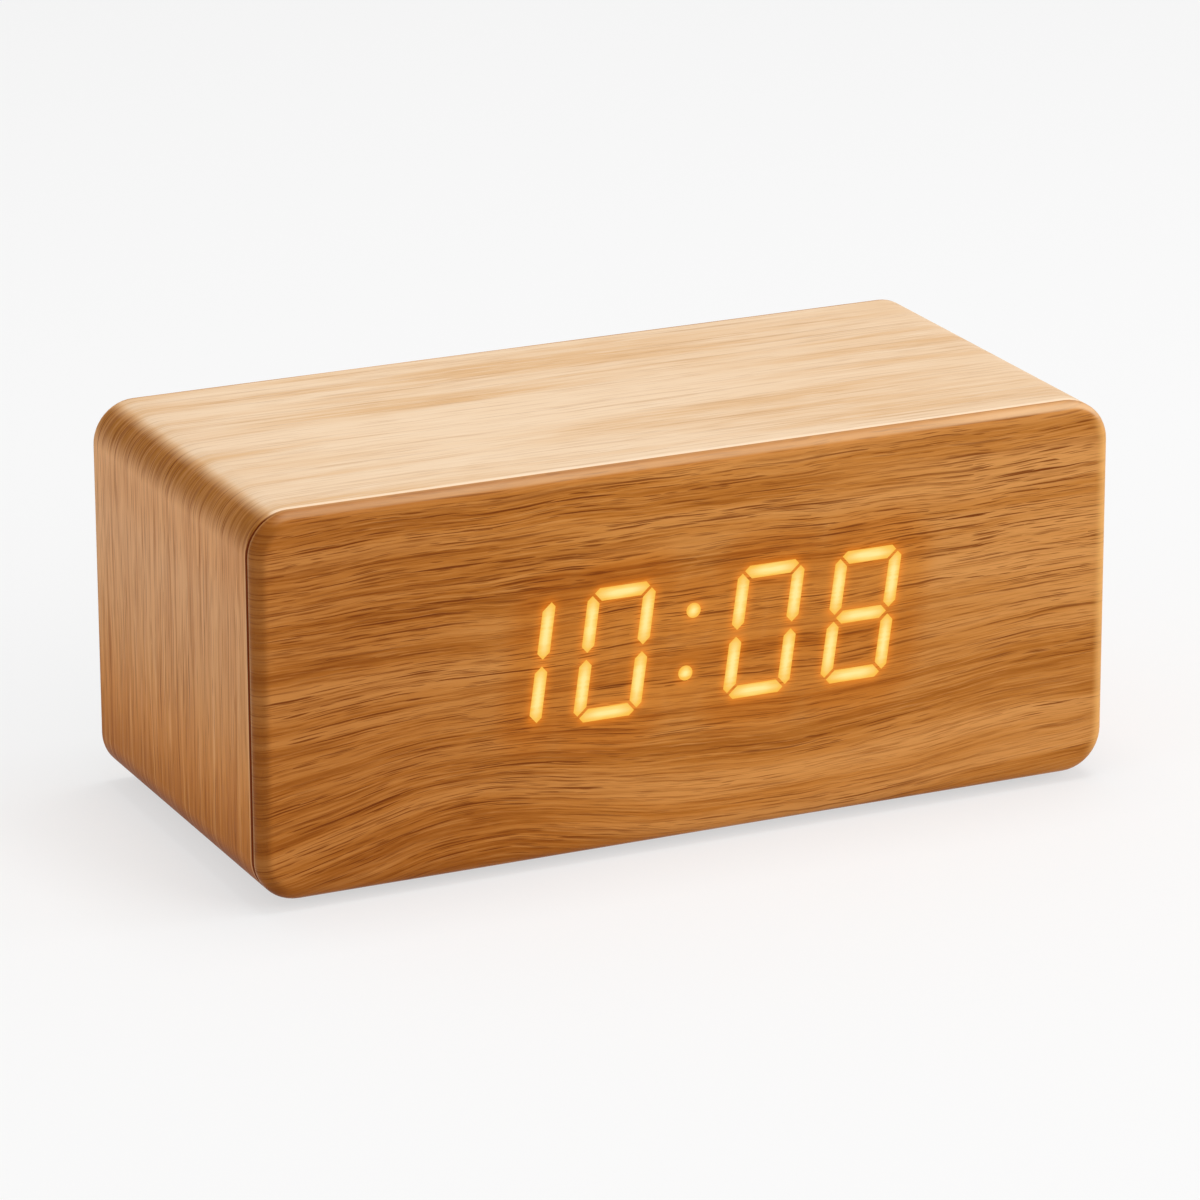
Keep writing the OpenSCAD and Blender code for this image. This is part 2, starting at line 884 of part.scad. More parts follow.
module memory_cell_strap() {
    at = [memory_cell_at[0], display_z + memory_cell_at[1]];
    half = memory_cell_r + holder_fit + holder_wall_t + socket_fit;
    top_y = board_back_y + holder_floor_t + memory_cell_t;
    color("goldenrod")
        translate([at[0], 0, at[1] - strap_w / 2])
            linear_extrude(strap_w)
                polygon([
                    [-half - strap_t, board_back_y],
                    [-half, board_back_y],
                    [-half, top_y],
                    [half, top_y],
                    [half, board_back_y],
                    [half + strap_t, board_back_y],
                    [half + strap_t, top_y + strap_t],
                    [-half - strap_t, top_y + strap_t]
                ]);
}

module capacitor() {
    color("slategray")
        y_turned([capacitor_at[0], display_z + capacitor_at[1]], board_back_y)
            difference() {
                square([capacitor_r, capacitor_h]);
                translate([capacitor_r, capacitor_r / 2])
                    circle(capacitor_neck_r);
            }
}

// The ribbon runs back from the main board, drops and runs on to the switch board
ribbon_front_z = display_z + clock_chip_at[1];
ribbon_rear_z = block_mid_z - post_inset;
ribbon_front_y = board_back_y + ribbon_socket[1];
ribbon_rear_y = switch_front_y - ribbon_socket[1];
ribbon_mid_y = (ribbon_front_y + ribbon_rear_y) / 2;

module ribbon_socket_front() {
    color("ivory")
        translate([
            switch_board_x - ribbon_socket[0] / 2,
            board_back_y,
            ribbon_front_z - ribbon_socket[2] / 2
        ])
            cube([ribbon_socket[0], ribbon_socket[1], ribbon_socket[2]]);
}

module ribbon_socket_rear() {
    color("ivory")
        translate([
            switch_board_x - ribbon_socket[0] / 2,
            ribbon_rear_y,
            ribbon_rear_z - ribbon_socket[2] / 2
        ])
            cube([ribbon_socket[0], ribbon_socket[1], ribbon_socket[2]]);
}

// Quarter of a flat band bent about a centre, in the given quadrant
module band_bend(at, x, z) {
    translate(at)
        intersection() {
            difference() {
                circle(ribbon_bend_r + ribbon_t / 2);
                circle(ribbon_bend_r - ribbon_t / 2);
            }
            quarter_w = ribbon_bend_r + ribbon_t;
            translate([x < 0 ? -quarter_w : 0, z < 0 ? -quarter_w : 0])
                square(quarter_w);
        }
}

module ribbon_cable() {
    half_t = ribbon_t / 2;
    color("gray")
        x_slab(switch_board_x - ribbon_w / 2, switch_board_x + ribbon_w / 2) {
            translate([ribbon_front_y, ribbon_front_z - half_t])
                square([ribbon_mid_y - ribbon_bend_r - ribbon_front_y, ribbon_t]);
            band_bend([ribbon_mid_y - ribbon_bend_r, ribbon_front_z - ribbon_bend_r], 1, 1);
            translate([ribbon_mid_y - half_t, ribbon_rear_z + ribbon_bend_r])
                square([ribbon_t, ribbon_front_z - ribbon_rear_z - 2 * ribbon_bend_r]);
            band_bend([ribbon_mid_y + ribbon_bend_r, ribbon_rear_z + ribbon_bend_r], -1, -1);
            translate([ribbon_mid_y + ribbon_bend_r, ribbon_rear_z - half_t])
                square([ribbon_rear_y - ribbon_mid_y - ribbon_bend_r, ribbon_t]);
        }
}

// The back panel with its battery tray

module door_recess() {
    box(
        [door_x0 - door_fit, door_inner_y - door_seat_gap, door_z0 - door_fit],
        [door_x1 + door_fit, panel_outer_y + cut, hinge_z]
    );
    box(
        [door_x0 - door_fit, hinge_y, hinge_z],
        [door_x1 + door_fit, panel_outer_y + cut, hinge_z + hinge_r + door_fit]
    );
    x_rod([hinge_y, hinge_z], hinge_r + door_fit, door_x0 - door_fit, door_x1 + door_fit);
    x_rod(
        [hinge_y, hinge_z],
        hinge_pin_r + hinge_pin_fit,
        door_x0 - hinge_pin_len - door_fit,
        door_x1 + hinge_pin_len + door_fit
    );
    y_rod([door_mid_x, door_z0], scoop_r, panel_outer_y - scoop_depth, panel_outer_y + cut);
}

module tray_solid() {
    box(
        [bay_x0 - tray_wall_t, tray_back_y, bay_bottom - tray_wall_t],
        [bay_x1 + tray_wall_t, panel_inner_y, bay_top + hinge_wall_t]
    );
}

module tray_ribs() {
    for (i = [1:cell_count - 1])
        box(
            [bay_x0 + spring_len, floor_y, bay_bottom + i * cell_pitch - tray_rib_t / 2],
            [bay_x1 - spring_len, floor_y + tray_rib_h, bay_bottom + i * cell_pitch + tray_rib_t / 2]
        );
}

function cell_z(i) = bay_top - (i + 0.5) * cell_pitch;

// The end of the bay, 0 or 1, where a cell's spring stands
function spring_end(i) = i % 2;

// Contact plates as [end of the bay, first cell, last cell]
contact_spans = concat(
    [[0, 0, 0]],
    [for (i = [0:cell_count - 2]) [1 - i % 2, i, i + 1]],
    [[cell_count % 2, cell_count - 1, cell_count - 1]]
);

module contact_tab_at(end, z, y0, y1, fit) {
    box(
        [contact_x[end] - fit, y0, z - tab_w / 2 - fit],
        [contact_x[end] + contact_t + fit, y1, z + tab_w / 2 + fit]
    );
}

module switch_board_posts() {
    translate([switch_board_x, 0, block_mid_z])
        at_corners(post_x, post_z)
            y_rod([0, 0], post_r, switch_rear_y, panel_inner_y);
}

module panel_holes() {
    translate([0, 0, block_mid_z])
        at_corners(corner_block_x, corner_block_z) {
            y_rod([0, 0], back_screw[0] + hole_fit, panel_inner_y - cut, panel_outer_y + cut);
            y_rod([0, 0], back_screw[1] + head_fit, panel_outer_y - head_sink, panel_outer_y + cut);
        }
    for (i = [0:len(button_names) - 1])
        y_rod(button_at(i), button_r + button_fit, panel_inner_y - cut, panel_outer_y + cut);
    y_slab(panel_inner_y - cut, panel_outer_y + cut) {
        translate([slider_x, button_z])
            square([
                slider_knob[0] + slider_travel + 2 * slider_fit,
                slider_knob[1] + 2 * slider_fit
            ], center = true);
        translate(usb_at)
            rounded_rect(usb_w + 2 * hole_fit, usb_h + 2 * hole_fit, usb_corner_r);
    }
    y_rod(microphone_at, microphone_hole_r, panel_inner_y - cut, panel_outer_y + cut);
    y_rod(buzzer_at, sound_hole_r, panel_inner_y - cut, panel_outer_y + cut);
    for (i = [0:sound_hole_count - 1])
        y_rod(
            buzzer_at + sound_hole_pitch * [
                cos(360 * i / sound_hole_count),
                sin(360 * i / sound_hole_count)
            ],
            sound_hole_r,
            panel_inner_y - cut,
            panel_outer_y + cut
        );
}

module back_panel() {
    color("dimgray")
        difference() {
            union() {
                y_slab(panel_inner_y, panel_outer_y)
                    translate([0, block_mid_z])
                        rounded_rect(tube_w - 2 * panel_fit, tube_h - 2 * panel_fit, tube_r);
                difference() {
                    tray_solid();
                    box(
                        [bay_x0, floor_y, bay_bottom],
                        [bay_x1, panel_inner_y + cut, bay_top]
                    );
                }
                tray_ribs();
                switch_board_posts();
                y_rod(
                    microphone_at,
                    microphone_r + socket_fit + microphone_ring_t,
                    panel_inner_y - microphone_ring_h,
                    panel_inner_y
                );
            }
            box([bay_x0, panel_inner_y - cut, bay_bottom], [bay_x1, panel_outer_y + cut, bay_top]);
            door_recess();
            panel_holes();
            y_rod(
                microphone_at,
                microphone_r + socket_fit,
                panel_inner_y - microphone_ring_h - cut,
                panel_inner_y
            );
            translate([switch_board_x, 0, block_mid_z])
                at_corners(post_x, post_z)
                    y_rod(
                        [0, 0],
                        board_screw[0] + thread_fit,
                        switch_rear_y - cut,
                        switch_rear_y + board_screw_grip + pilot_extra
                    );
            for (i = [0, cell_count])
                contact_tab_at(
                    contact_spans[i][0],
                    cell_z(contact_spans[i][1]),
                    tray_back_y - cut,
                    floor_y + cut,
                    tab_fit
                );
        }
}

module back_screws() {
    color("silver")
        translate([0, 0, block_mid_z])
            at_corners(corner_block_x, corner_block_z)
                pan_screw([0, 0], panel_outer_y - head_sink, 1, back_screw_len, back_screw);
}

module battery_door() {
    color("gray")
        difference() {
            union() {
                box([door_x0, door_inner_y, door_z0], [door_x1, panel_outer_y, hinge_z]);
                x_rod([hinge_y, hinge_z], hinge_r, door_x0, door_x1);
                x_rod(
                    [hinge_y, hinge_z],
                    hinge_pin_r,
                    door_x0 - hinge_pin_len,
                    door_x1 + hinge_pin_len
                );
                for (i = [0:grip_count - 1])
                    box(
                        [door_mid_x - grip_w / 2, panel_outer_y - grip_h, door_z0 + (i + 1) * grip_pitch],
                        [
                            door_mid_x + grip_w / 2,
                            panel_outer_y + grip_h,
                            door_z0 + (i + 1) * grip_pitch + grip_t
                        ]
                    );
            }
            for (side = [-1, 1])
                translate([door_mid_x + side * tongue_w / 2, 0, 0])
                    box(
                        [-tongue_slot_w / 2, door_inner_y - cut, door_z0 - cut],
                        [tongue_slot_w / 2, panel_outer_y + cut, door_z0 + tongue_len]
                    );
        }
}

// The batteries and their contacts

module battery(i) {
    nub_dir = spring_end(i) == 0 ? 1 : -1;
    nub_face = contact_x[1 - spring_end(i)] + (nub_dir < 0 ? contact_t : 0);
    color("steelblue")
        translate([nub_face, cell_y, cell_z(i)])
            rotate([0, -90 * nub_dir, 0])
                rotate_extrude() {
                    square([nub_r, nub_len + cell_rim_r]);
                    translate([0, nub_len])
                        square([cell_r - cell_rim_r, cell_len - nub_len]);
                    translate([0, nub_len + cell_rim_r])
                        square([cell_r, cell_len - nub_len - 2 * cell_rim_r]);
                    for (end = [nub_len + cell_rim_r, cell_len - cell_rim_r])
                        translate([cell_r - cell_rim_r, end])
                            circle(cell_rim_r);
                }
}

function spring_path(i) =
    let (
        out_dir = spring_end(i) == 0 ? 1 : -1,
        base_x = contact_x[spring_end(i)] + (out_dir > 0 ? contact_t : 0),
        inset = spring_wire_r + spring_seat,
        steps = spring_curls * spring_rings
    )
    [
        for (k = [0:steps])
            let (
                f = k / steps,
                a = 360 * k / spring_rings,
                r = spring_base_r + f * (spring_tip_r - spring_base_r)
            )
            [
                base_x + out_dir * (inset + f * (spring_len - 2 * inset)),
                cell_y + r * cos(a),
                cell_z(i) + r * sin(a)
            ]
    ];
spring_points = spring_path(0);
echo(least_spring_gap = min([
    for (i = [0:len(spring_points) - 1], k = [i + spring_rings / 2:len(spring_points) - 1])
        norm(spring_points[i] - spring_points[k])
]) - 2 * spring_wire_r);

module contact_spring(i) {
    color("silver")
        tube(spring_path(i), spring_wire_r, spring_sides, [0, 1, 0]);
}

module contact_plate(i) {
    end = contact_spans[i][0];
    top_z = cell_z(contact_spans[i][1]);
    low_z = cell_z(contact_spans[i][2]);
    color("lightgray") {
        box(
            [contact_x[end], floor_y, low_z - contact_w / 2],
            [contact_x[end] + contact_t, floor_y + contact_h, top_z + contact_w / 2]
        );
        if (top_z == low_z)
            contact_tab_at(end, top_z, tab_end_y, floor_y, 0);
    }
}

// The switch board and the controls on it

module switch_board() {
    color("darkgreen")
        difference() {
            y_slab(switch_front_y, switch_rear_y)
                translate([switch_board_x, block_mid_z])
                    square([switch_board_w, switch_board_h], center = true);
            translate([switch_board_x, 0, block_mid_z])
                at_corners(post_x, post_z)
                    y_rod([0, 0], board_screw[0] + hole_fit, switch_front_y - cut, switch_rear_y + cut);
        }
}

module switch_board_screws() {
    color("silver")
        translate([switch_board_x, 0, block_mid_z])
            at_corners(post_x, post_z)
                pan_screw([0, 0], switch_front_y, -1, board_t + board_screw_grip, board_screw);
}

function button_at(i) = [upper_row_x[i], button_z];
switch_top_y = switch_rear_y + switch_h;
plunger_top_y = switch_top_y + plunger_out;
collar_top_y = panel_inner_y - collar_gap;

module switch_body(i) {
    color("dimgray")
        difference() {
            y_slab(switch_rear_y, switch_top_y)
                translate(button_at(i))
                    square(switch_w, center = true);
            y_rod(
                button_at(i),
                plunger_r + plunger_fit,
                switch_top_y - plunger_in - button_travel - collar_gap,
                switch_top_y + cut
            );
        }
}

module switch_plunger(i) {
    color("white")
        y_rod(button_at(i), plunger_r, switch_top_y - plunger_in, plunger_top_y);
}

module button_cap(i) {
    cap_h = panel_outer_y + button_proud - collar_top_y;
    color("silver")
        y_turned(button_at(i), plunger_top_y) {
            square([button_stem_r, collar_top_y - plunger_top_y]);
            translate([0, collar_top_y - collar_t - plunger_top_y])
                square([collar_r, collar_t]);
            translate([0, collar_top_y - plunger_top_y]) {
                square([button_r, cap_h - button_edge_r]);
                square([button_r - button_edge_r, cap_h]);
                translate([button_r - button_edge_r, cap_h - button_edge_r])
                    circle(button_edge_r);
            }
        }
}

module slider_housing() {
    top_y = switch_rear_y + slider_housing[2];
    color("silver")
        difference() {
            y_slab(switch_rear_y, top_y)
                translate([slider_x, button_z])
                    square([slider_housing[0], slider_housing[1]], center = true);
            y_slab(top_y - slider_slot_depth, top_y + cut)
                translate([slider_x, button_z])
                    square([
                        slider_stem_w + slider_travel + 2 * slider_fit,
                        slider_stem_w + 2 * slider_fit
                    ], center = true);
        }
}

module sound_slider() {
    at = [slider_x - slider_travel / 2, button_z];
    shoe_y1 = panel_inner_y - collar_gap;
    shoe_y0 = shoe_y1 - slider_shoe[2];
    knob_y1 = panel_outer_y + button_proud;
    stem_y0 = switch_rear_y + slider_housing[2] - slider_slot_depth + slider_fit;
    color("lightgray")
        difference() {
            union() {
                y_slab(stem_y0, shoe_y0)
                    translate(at)
                        square(slider_stem_w, center = true);
                y_slab(shoe_y0, shoe_y1)
                    translate(at)
                        square([slider_shoe[0], slider_shoe[1]], center = true);
                y_slab(shoe_y1, knob_y1)
                    translate(at)
                        square(slider_knob, center = true);
            }
            for (i = [-1, 0, 1])
                translate([
                    at[0] + i * 2 * slider_groove_w - slider_groove_w / 2,
                    knob_y1 - slider_groove_t,
                    at[1] - slider_knob[1] / 2 - cut
                ])
                    cube([slider_groove_w, slider_groove_t + cut, slider_knob[1] + 2 * cut]);
        }
}

usb_mouth_y = panel_outer_y - usb_mouth_gap;

module usb_shell() {
    color("silver")
        y_slab(switch_rear_y, usb_mouth_y)
            translate(usb_at)
                difference() {
                    rounded_rect(usb_w, usb_h, usb_corner_r);
                    rounded_rect(
                        usb_w - 2 * usb_shell_t,
                        usb_h - 2 * usb_shell_t,
                        usb_corner_r - usb_shell_t
                    );
                }
}

module usb_tongue() {
    wall = usb_shell_t + socket_fit;
    color("dimgray")
        union() {
            y_slab(switch_rear_y, switch_rear_y + usb_base_t)
                translate(usb_at)
                    rounded_rect(usb_w - 2 * wall, usb_h - 2 * wall, usb_corner_r - wall);
            y_slab(switch_rear_y, usb_mouth_y - usb_tongue_gap)
                translate(usb_at)
                    square([usb_tongue_w, usb_tongue_t], center = true);
        }
}

module microphone() {
    color("silver") {
        y_rod(microphone_at, microphone_r, panel_inner_y - microphone_h, panel_inner_y);
        for (side = [-1, 1])
            y_rod(
                microphone_at + [side * microphone_pin_gap, 0],
                microphone_pin_r,
                switch_rear_y,
                panel_inner_y - microphone_h
            );
    }
}

module buzzer() {
    color("dimgray")
        difference() {
            y_rod(buzzer_at, buzzer_r, switch_rear_y, switch_rear_y + buzzer_h);
            y_rod(
                buzzer_at,
                buzzer_hole_r,
                switch_rear_y + buzzer_h / 2,
                switch_rear_y + buzzer_h + cut
            );
        }
}

// Battery wires, from the tabs of the end contacts to the switch board
lead_pad_x = switch_board_x0 + post_inset;
lead_run_y = tray_back_y - tab_len / 2;

function lead_route(end, z) = [
    [contact_x[end] + contact_t, lead_run_y, z],
    [lead_pad_x, lead_run_y, z],
    [lead_pad_x, switch_front_y, z]
];

module battery_lead(span) {
    route = rounded_route(lead_route(span[0], cell_z(span[1])), wire_bend);
    tube(route, wire_r, wire_sides, [0, 0, 1]);
}

module battery_lead_red() {
    color("red")
        battery_lead(contact_spans[cell_count]);
}

module battery_lead_black() {
    color("dimgray")
        battery_lead(contact_spans[0]);
}

case_shell();
front_panel();
lit_digits();
diffuser_film();
display_mask();
segment_leds();
main_board();
board_screws();
clock_chip();
driver_chip();
chip_leads();
crystal_can();
memory_cell_holder();
memory_cell();
memory_cell_strap();
capacitor();
ribbon_socket_front();
ribbon_cable();
ribbon_socket_rear();
back_panel();
back_screws();
battery_door();
switch_board();
switch_board_screws();
slider_housing();
sound_slider();
usb_shell();
usb_tongue();
microphone();
buzzer();
battery_lead_red();
battery_lead_black();
for (i = [0:corner_count - 1]) {
    foot(i);
    corner_block(i);
}
for (i = [0:cell_count - 1]) {
    battery(i);
    contact_spring(i);
}
for (i = [0:cell_count]) {
    contact_plate(i);
}
for (i = [0:len(button_names) - 1]) {
    switch_body(i);
    switch_plunger(i);
    button_cap(i);
}
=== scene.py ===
"""Looks of the wooden alarm clock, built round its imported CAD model."""

import json
import math

import bmesh
import bpy
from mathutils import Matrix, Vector


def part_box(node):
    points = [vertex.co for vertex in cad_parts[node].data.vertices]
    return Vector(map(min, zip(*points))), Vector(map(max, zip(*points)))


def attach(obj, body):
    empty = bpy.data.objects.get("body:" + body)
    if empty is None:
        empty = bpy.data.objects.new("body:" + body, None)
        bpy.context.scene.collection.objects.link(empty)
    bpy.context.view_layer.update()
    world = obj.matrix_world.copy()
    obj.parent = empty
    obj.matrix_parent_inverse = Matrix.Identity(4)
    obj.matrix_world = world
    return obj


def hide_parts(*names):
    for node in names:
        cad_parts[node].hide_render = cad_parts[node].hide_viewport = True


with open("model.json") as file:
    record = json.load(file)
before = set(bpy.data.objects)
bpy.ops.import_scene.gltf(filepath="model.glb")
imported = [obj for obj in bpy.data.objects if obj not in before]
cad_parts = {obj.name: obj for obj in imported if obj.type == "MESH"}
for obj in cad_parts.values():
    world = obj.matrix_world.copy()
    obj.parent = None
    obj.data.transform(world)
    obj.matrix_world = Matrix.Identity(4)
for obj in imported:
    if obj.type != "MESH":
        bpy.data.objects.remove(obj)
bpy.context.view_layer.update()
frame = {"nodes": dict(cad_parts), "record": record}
nodes = frame["nodes"]

MM = 0.001

# Places in millimetres, read from the frame


def box_mm(node):
    low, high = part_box(node)
    return low / MM, high / MM


def middle(node):
    low, high = box_mm(node)
    return (low + high) / 2


CASE_LOW, CASE_HIGH = box_mm("case_shell")
FRONT_LOW, FRONT_HIGH = box_mm("front_panel")
BACK_HIGH = box_mm("back_panel")[1]
DISPLAY_Z = middle("lit_digits").z
RIM_BACK = FRONT_LOW.y + 2.3  # where the front's rim ends and the seam begins
CORNER_R = 7.0  # of the block's four long corners

PLAIN = (1.0, 1.0, 1.0)  # a tint that changes nothing


class Tree:
    """Short calls for the nodes of one material. A value is a number, a colour or a socket."""

    def __init__(self, name):
        self.material = bpy.data.materials.new(name)
        self.material.use_nodes = True
        tree = self.material.node_tree
        self.nodes, self.links = tree.nodes, tree.links
        self.shader = next(n for n in self.nodes if n.type == "BSDF_PRINCIPLED")
        self._xyz = None

    def put(self, socket, value):
        if isinstance(value, bpy.types.NodeSocket):
            self.links.new(value, socket)
        elif isinstance(value, tuple) and socket.type == "RGBA" and len(value) == 3:
            socket.default_value = (*value, 1.0)
        else:
            socket.default_value = value

    def node(self, kind, inputs=None, **settings):
        made = self.nodes.new("ShaderNode" + kind)
        for key, value in settings.items():
            setattr(made, key, value)
        for key, value in (inputs or {}).items():
            self.put(made.inputs[key], value)
        return made

    def math(self, operation, *values):
        return self.node("Math", dict(enumerate(values)), operation=operation).outputs[0]

    def add(self, a, b):
        return self.math("ADD", a, b)

    def most(self, a, b):
        return self.math("MAXIMUM", a, b)

    def least(self, a, b):
        return self.math("MINIMUM", a, b)

    def size(self, a):
        return self.math("ABSOLUTE", a)

    def sub(self, a, b):
        return self.math("SUBTRACT", a, b)

    def mul(self, product, *factors):
        for factor in factors:
            product = self.math("MULTIPLY", product, factor)
        return product

    def square(self, a):
        return self.mul(a, a)

    def far(self, a, b):
        """How far a is from b, either way."""
        return self.size(self.sub(a, b))

    def beyond(self, a, b):
        """How far a is over b, or 0 below it."""
        return self.most(self.sub(a, b), 0.0)

    def xyz(self):
        """The point's place at rest, in millimetres."""
        if self._xyz is None:
            coords = self.node("TexCoord").outputs["Object"]
            scaled = self.node("VectorMath", {0: coords, 3: 1 / MM}, operation="SCALE").outputs[0]
            self._xyz = self.node("SeparateXYZ", {0: scaled}).outputs[0:3]
        return self._xyz

    def vector(self, x, y, z):
        return self.node("CombineXYZ", {0: x, 1: y, 2: z}).outputs[0]

    def noise(self, x, y, z, detail=2.0, roughness=0.5):
        inputs = {"Vector": self.vector(x, y, z), "Scale": 1.0}
        inputs.update({"Detail": detail, "Roughness": roughness})
        return self.node("TexNoise", inputs).outputs[0]

    def cells(self, x_mm, y_mm, z_mm, detail=2.0, roughness=0.5):
        """Noise whose lumps are about so long along each axis."""
        x, y, z = self.xyz()
        place = self.mul(x, 1 / x_mm), self.mul(y, 1 / y_mm), self.mul(z, 1 / z_mm)
        return self.noise(*place, detail, roughness)

    def strokes(self, along, across, length, pitch, half_width, rare, seed):
        """Tapered lines, one to a room of length by pitch. The higher rare is, the more faint."""
        across_rooms = self.add(self.mul(across, 1 / pitch), seed)
        place = self.vector(self.mul(along, 1 / length), across_rooms, 0.0)
        room = self.node("TexVoronoi", {"Vector": place, "Scale": 1.0}, voronoi_dimensions="2D")
        away = {0: place, 1: room.outputs["Position"]}
        away = self.node("VectorMath", away, operation="SUBTRACT").outputs[0]
        off_along, off_across, _ = self.node("SeparateXYZ", {0: away}).outputs[0:3]
        luck = self.node("SeparateXYZ", {0: room.outputs["Color"]}).outputs[0:3]
        reach = self.span(luck[0], 0.0, 1.0, 0.2, 0.56)
        taper = self.sub(1.0, self.square(self.math("DIVIDE", off_along, reach)))
        half = self.mul(taper, self.span(luck[1], 0.0, 1.0, 0.4 * half_width, half_width))
        over = self.sub(half, self.mul(self.size(off_across), pitch))
        return self.mul(self.step(over, -0.04, 0.06), self.step(luck[2], rare - 0.25, rare + 0.25))

    def chance(self, a, b):
        """One random number for each pair of whole numbers."""
        return self.node("TexWhiteNoise", {"Vector": self.vector(a, b, 0.0)}).outputs[0]

    def step(self, value, low, high):
        """0 below low and 1 above high, smooth between them. It runs down if low is the greater."""
        inputs = {0: value, 1: low, 2: high}
        return self.node("MapRange", inputs, interpolation_type="SMOOTHSTEP").outputs[0]

    def span(self, value, low, high, to_low, to_high):
        """A straight slope from to_low at low to to_high at high, and level beyond them."""
        return self.node("MapRange", {0: value, 1: low, 2: high, 3: to_low, 4: to_high}).outputs[0]

    def mix(self, factor, a, b):
        made = self.node("Mix", data_type="RGBA")
        for index, value in ((0, factor), (6, a), (7, b)):
            self.put(made.inputs[index], value)
        return made.outputs[2]

    def tint(self, colour, factor):
        """A colour times a number."""
        return self.node("VectorMath", {0: colour, 3: factor}, operation="SCALE").outputs[0]

    def times(self, colour, other):
        """A colour times a colour."""
        return self.node("VectorMath", {0: colour, 1: other}, operation="MULTIPLY").outputs[0]

    def layers(self, colour, *rows):
        """A colour with others over it. A row is a value, its low and high, a share, a colour."""
        for value, low, high, share, other in rows:
            colour = self.mix(self.mul(self.step(value, low, high), share), colour, other)
        return colour

    def shades(self, colour, *rows):
        """A colour times tints: each row is a value, its low and high, and the tint at high."""
        for value, low, high, tint in rows:
            colour = self.times(colour, self.mix(self.step(value, low, high), PLAIN, tint))
        return colour

    def bump(self, height_mm):
        return self.node("Bump", {"Strength": 1.0, "Distance": MM, "Height": height_mm}).outputs[0]

    def finish(self, colour, roughness, normal=None, **plain):
        self.put(self.shader.inputs["Base Color"], colour)
        self.put(self.shader.inputs["Roughness"], roughness)
        if normal is not None:
            self.put(self.shader.inputs["Normal"], normal)
        for name, value in plain.items():
            self.put(self.shader.inputs[name.replace("_", " ")], value)
        return self.material


def srgb(red, green, blue):
    """A colour given as it looks on screen, 0 to 255, as the shader's linear one."""
    return tuple(
        v / 12.92 if v <= 0.04045 else ((v + 0.055) / 1.055) ** 2.4
        for v in (red / 255, green / 255, blue / 255)
    )


# The display's bars

LEAN = math.tan(math.radians(8))
BAR_HALF = 1.07
BAR_END = 1.1 * BAR_HALF  # how far a bar runs past the end of its middle line
HALO_REACH = 1.9


def islands(node):
    """Points (x, z) in millimetres of each separate solid of a CAD node."""
    mesh = bmesh.new()
    mesh.from_mesh(nodes[node].data)
    bmesh.ops.remove_doubles(mesh, verts=mesh.verts, dist=1e-6)
    left, found = set(mesh.verts), []
    while left:
        group, edge = set(), [min(left, key=lambda v: v.index)]
        while edge:
            vert = edge.pop()
            if vert in group:
                continue
            group.add(vert)
            edge.extend(e.other_vert(vert) for e in vert.link_edges)
        left -= group
        found.append([(v.co.x / MM, v.co.z / MM) for v in group])
    mesh.free()
    return found


def upright_bars():
    """Middle (u, v) and reach (u, v) of each bar's middle line, with the digits' lean taken out."""
    found = []
    for points in islands("lit_digits"):
        vs = [z - DISPLAY_Z for _, z in points]
        us = [x - LEAN * v for (x, _), v in zip(points, vs)]
        reach = [max(0.0, (max(side) - min(side)) / 2 - BAR_END) for side in (us, vs)]
        found.append(((min(us) + max(us)) / 2, (min(vs) + max(vs)) / 2, *reach))
    return sorted(found)


BARS = upright_bars()


def bar_distance(tree, line_share=1.0):
    """How far a point of the face is from the nearest bar's middle line, or from so much of it."""
    x, _, z = tree.xyz()
    v = tree.sub(z, DISPLAY_Z)
    u = tree.sub(x, tree.mul(v, LEAN))
    made = {}

    def off_square(axis, value, mid, reach):
        key = (axis, round(mid, 1), round(reach, 1))
        if key not in made:
            off = tree.sub(value, mid)
            if reach > 0.1:
                off = tree.beyond(tree.size(off), reach)
            made[key] = tree.square(off)
        return made[key]

    nearest = None
    for mid_u, mid_v, reach_u, reach_v in BARS:
        away = tree.add(
            off_square("u", u, mid_u, reach_u * line_share),
            off_square("v", v, mid_v, reach_v * line_share),
        )
        nearest = away if nearest is None else tree.least(nearest, away)
    return tree.math("SQRT", nearest)


# Wood

WOOD_SPECULAR = 0.08
GRAIN_RELIEF = 0.02


def grain_level(t, x, rise):
    """Height among the grain's lines, which crest at the lower left and climb at the right."""
    crest_x, crest_half, climb = -38.0, 25.0, 5.0
    crest = t.mul(t.sub(x, crest_x), 1 / crest_half)
    crest = t.math("EXPONENT", t.mul(t.square(crest), -1.0))
    fall = t.mul(t.step(x, -42.0, -80.0), 0.5)
    low_left = t.mul(t.step(rise, 44.0, 6.0), climb, t.sub(crest, fall))
    right = t.mul(t.step(rise, 46.0, 6.0), climb, t.step(x, 18.0, 80.0))
    slow = t.sub(t.noise(t.mul(x, 1 / 42.0), 0.0, t.mul(rise, 1 / 20.0), 1.0), 0.5)
    quick = t.sub(t.noise(t.mul(x, 1 / 13.0), 4.0, t.mul(rise, 1 / 5.0), 2.0), 0.5)
    wave = t.add(t.mul(slow, 4.0), t.mul(quick, 0.9))
    return t.add(t.sub(t.sub(rise, low_left), right), wave)


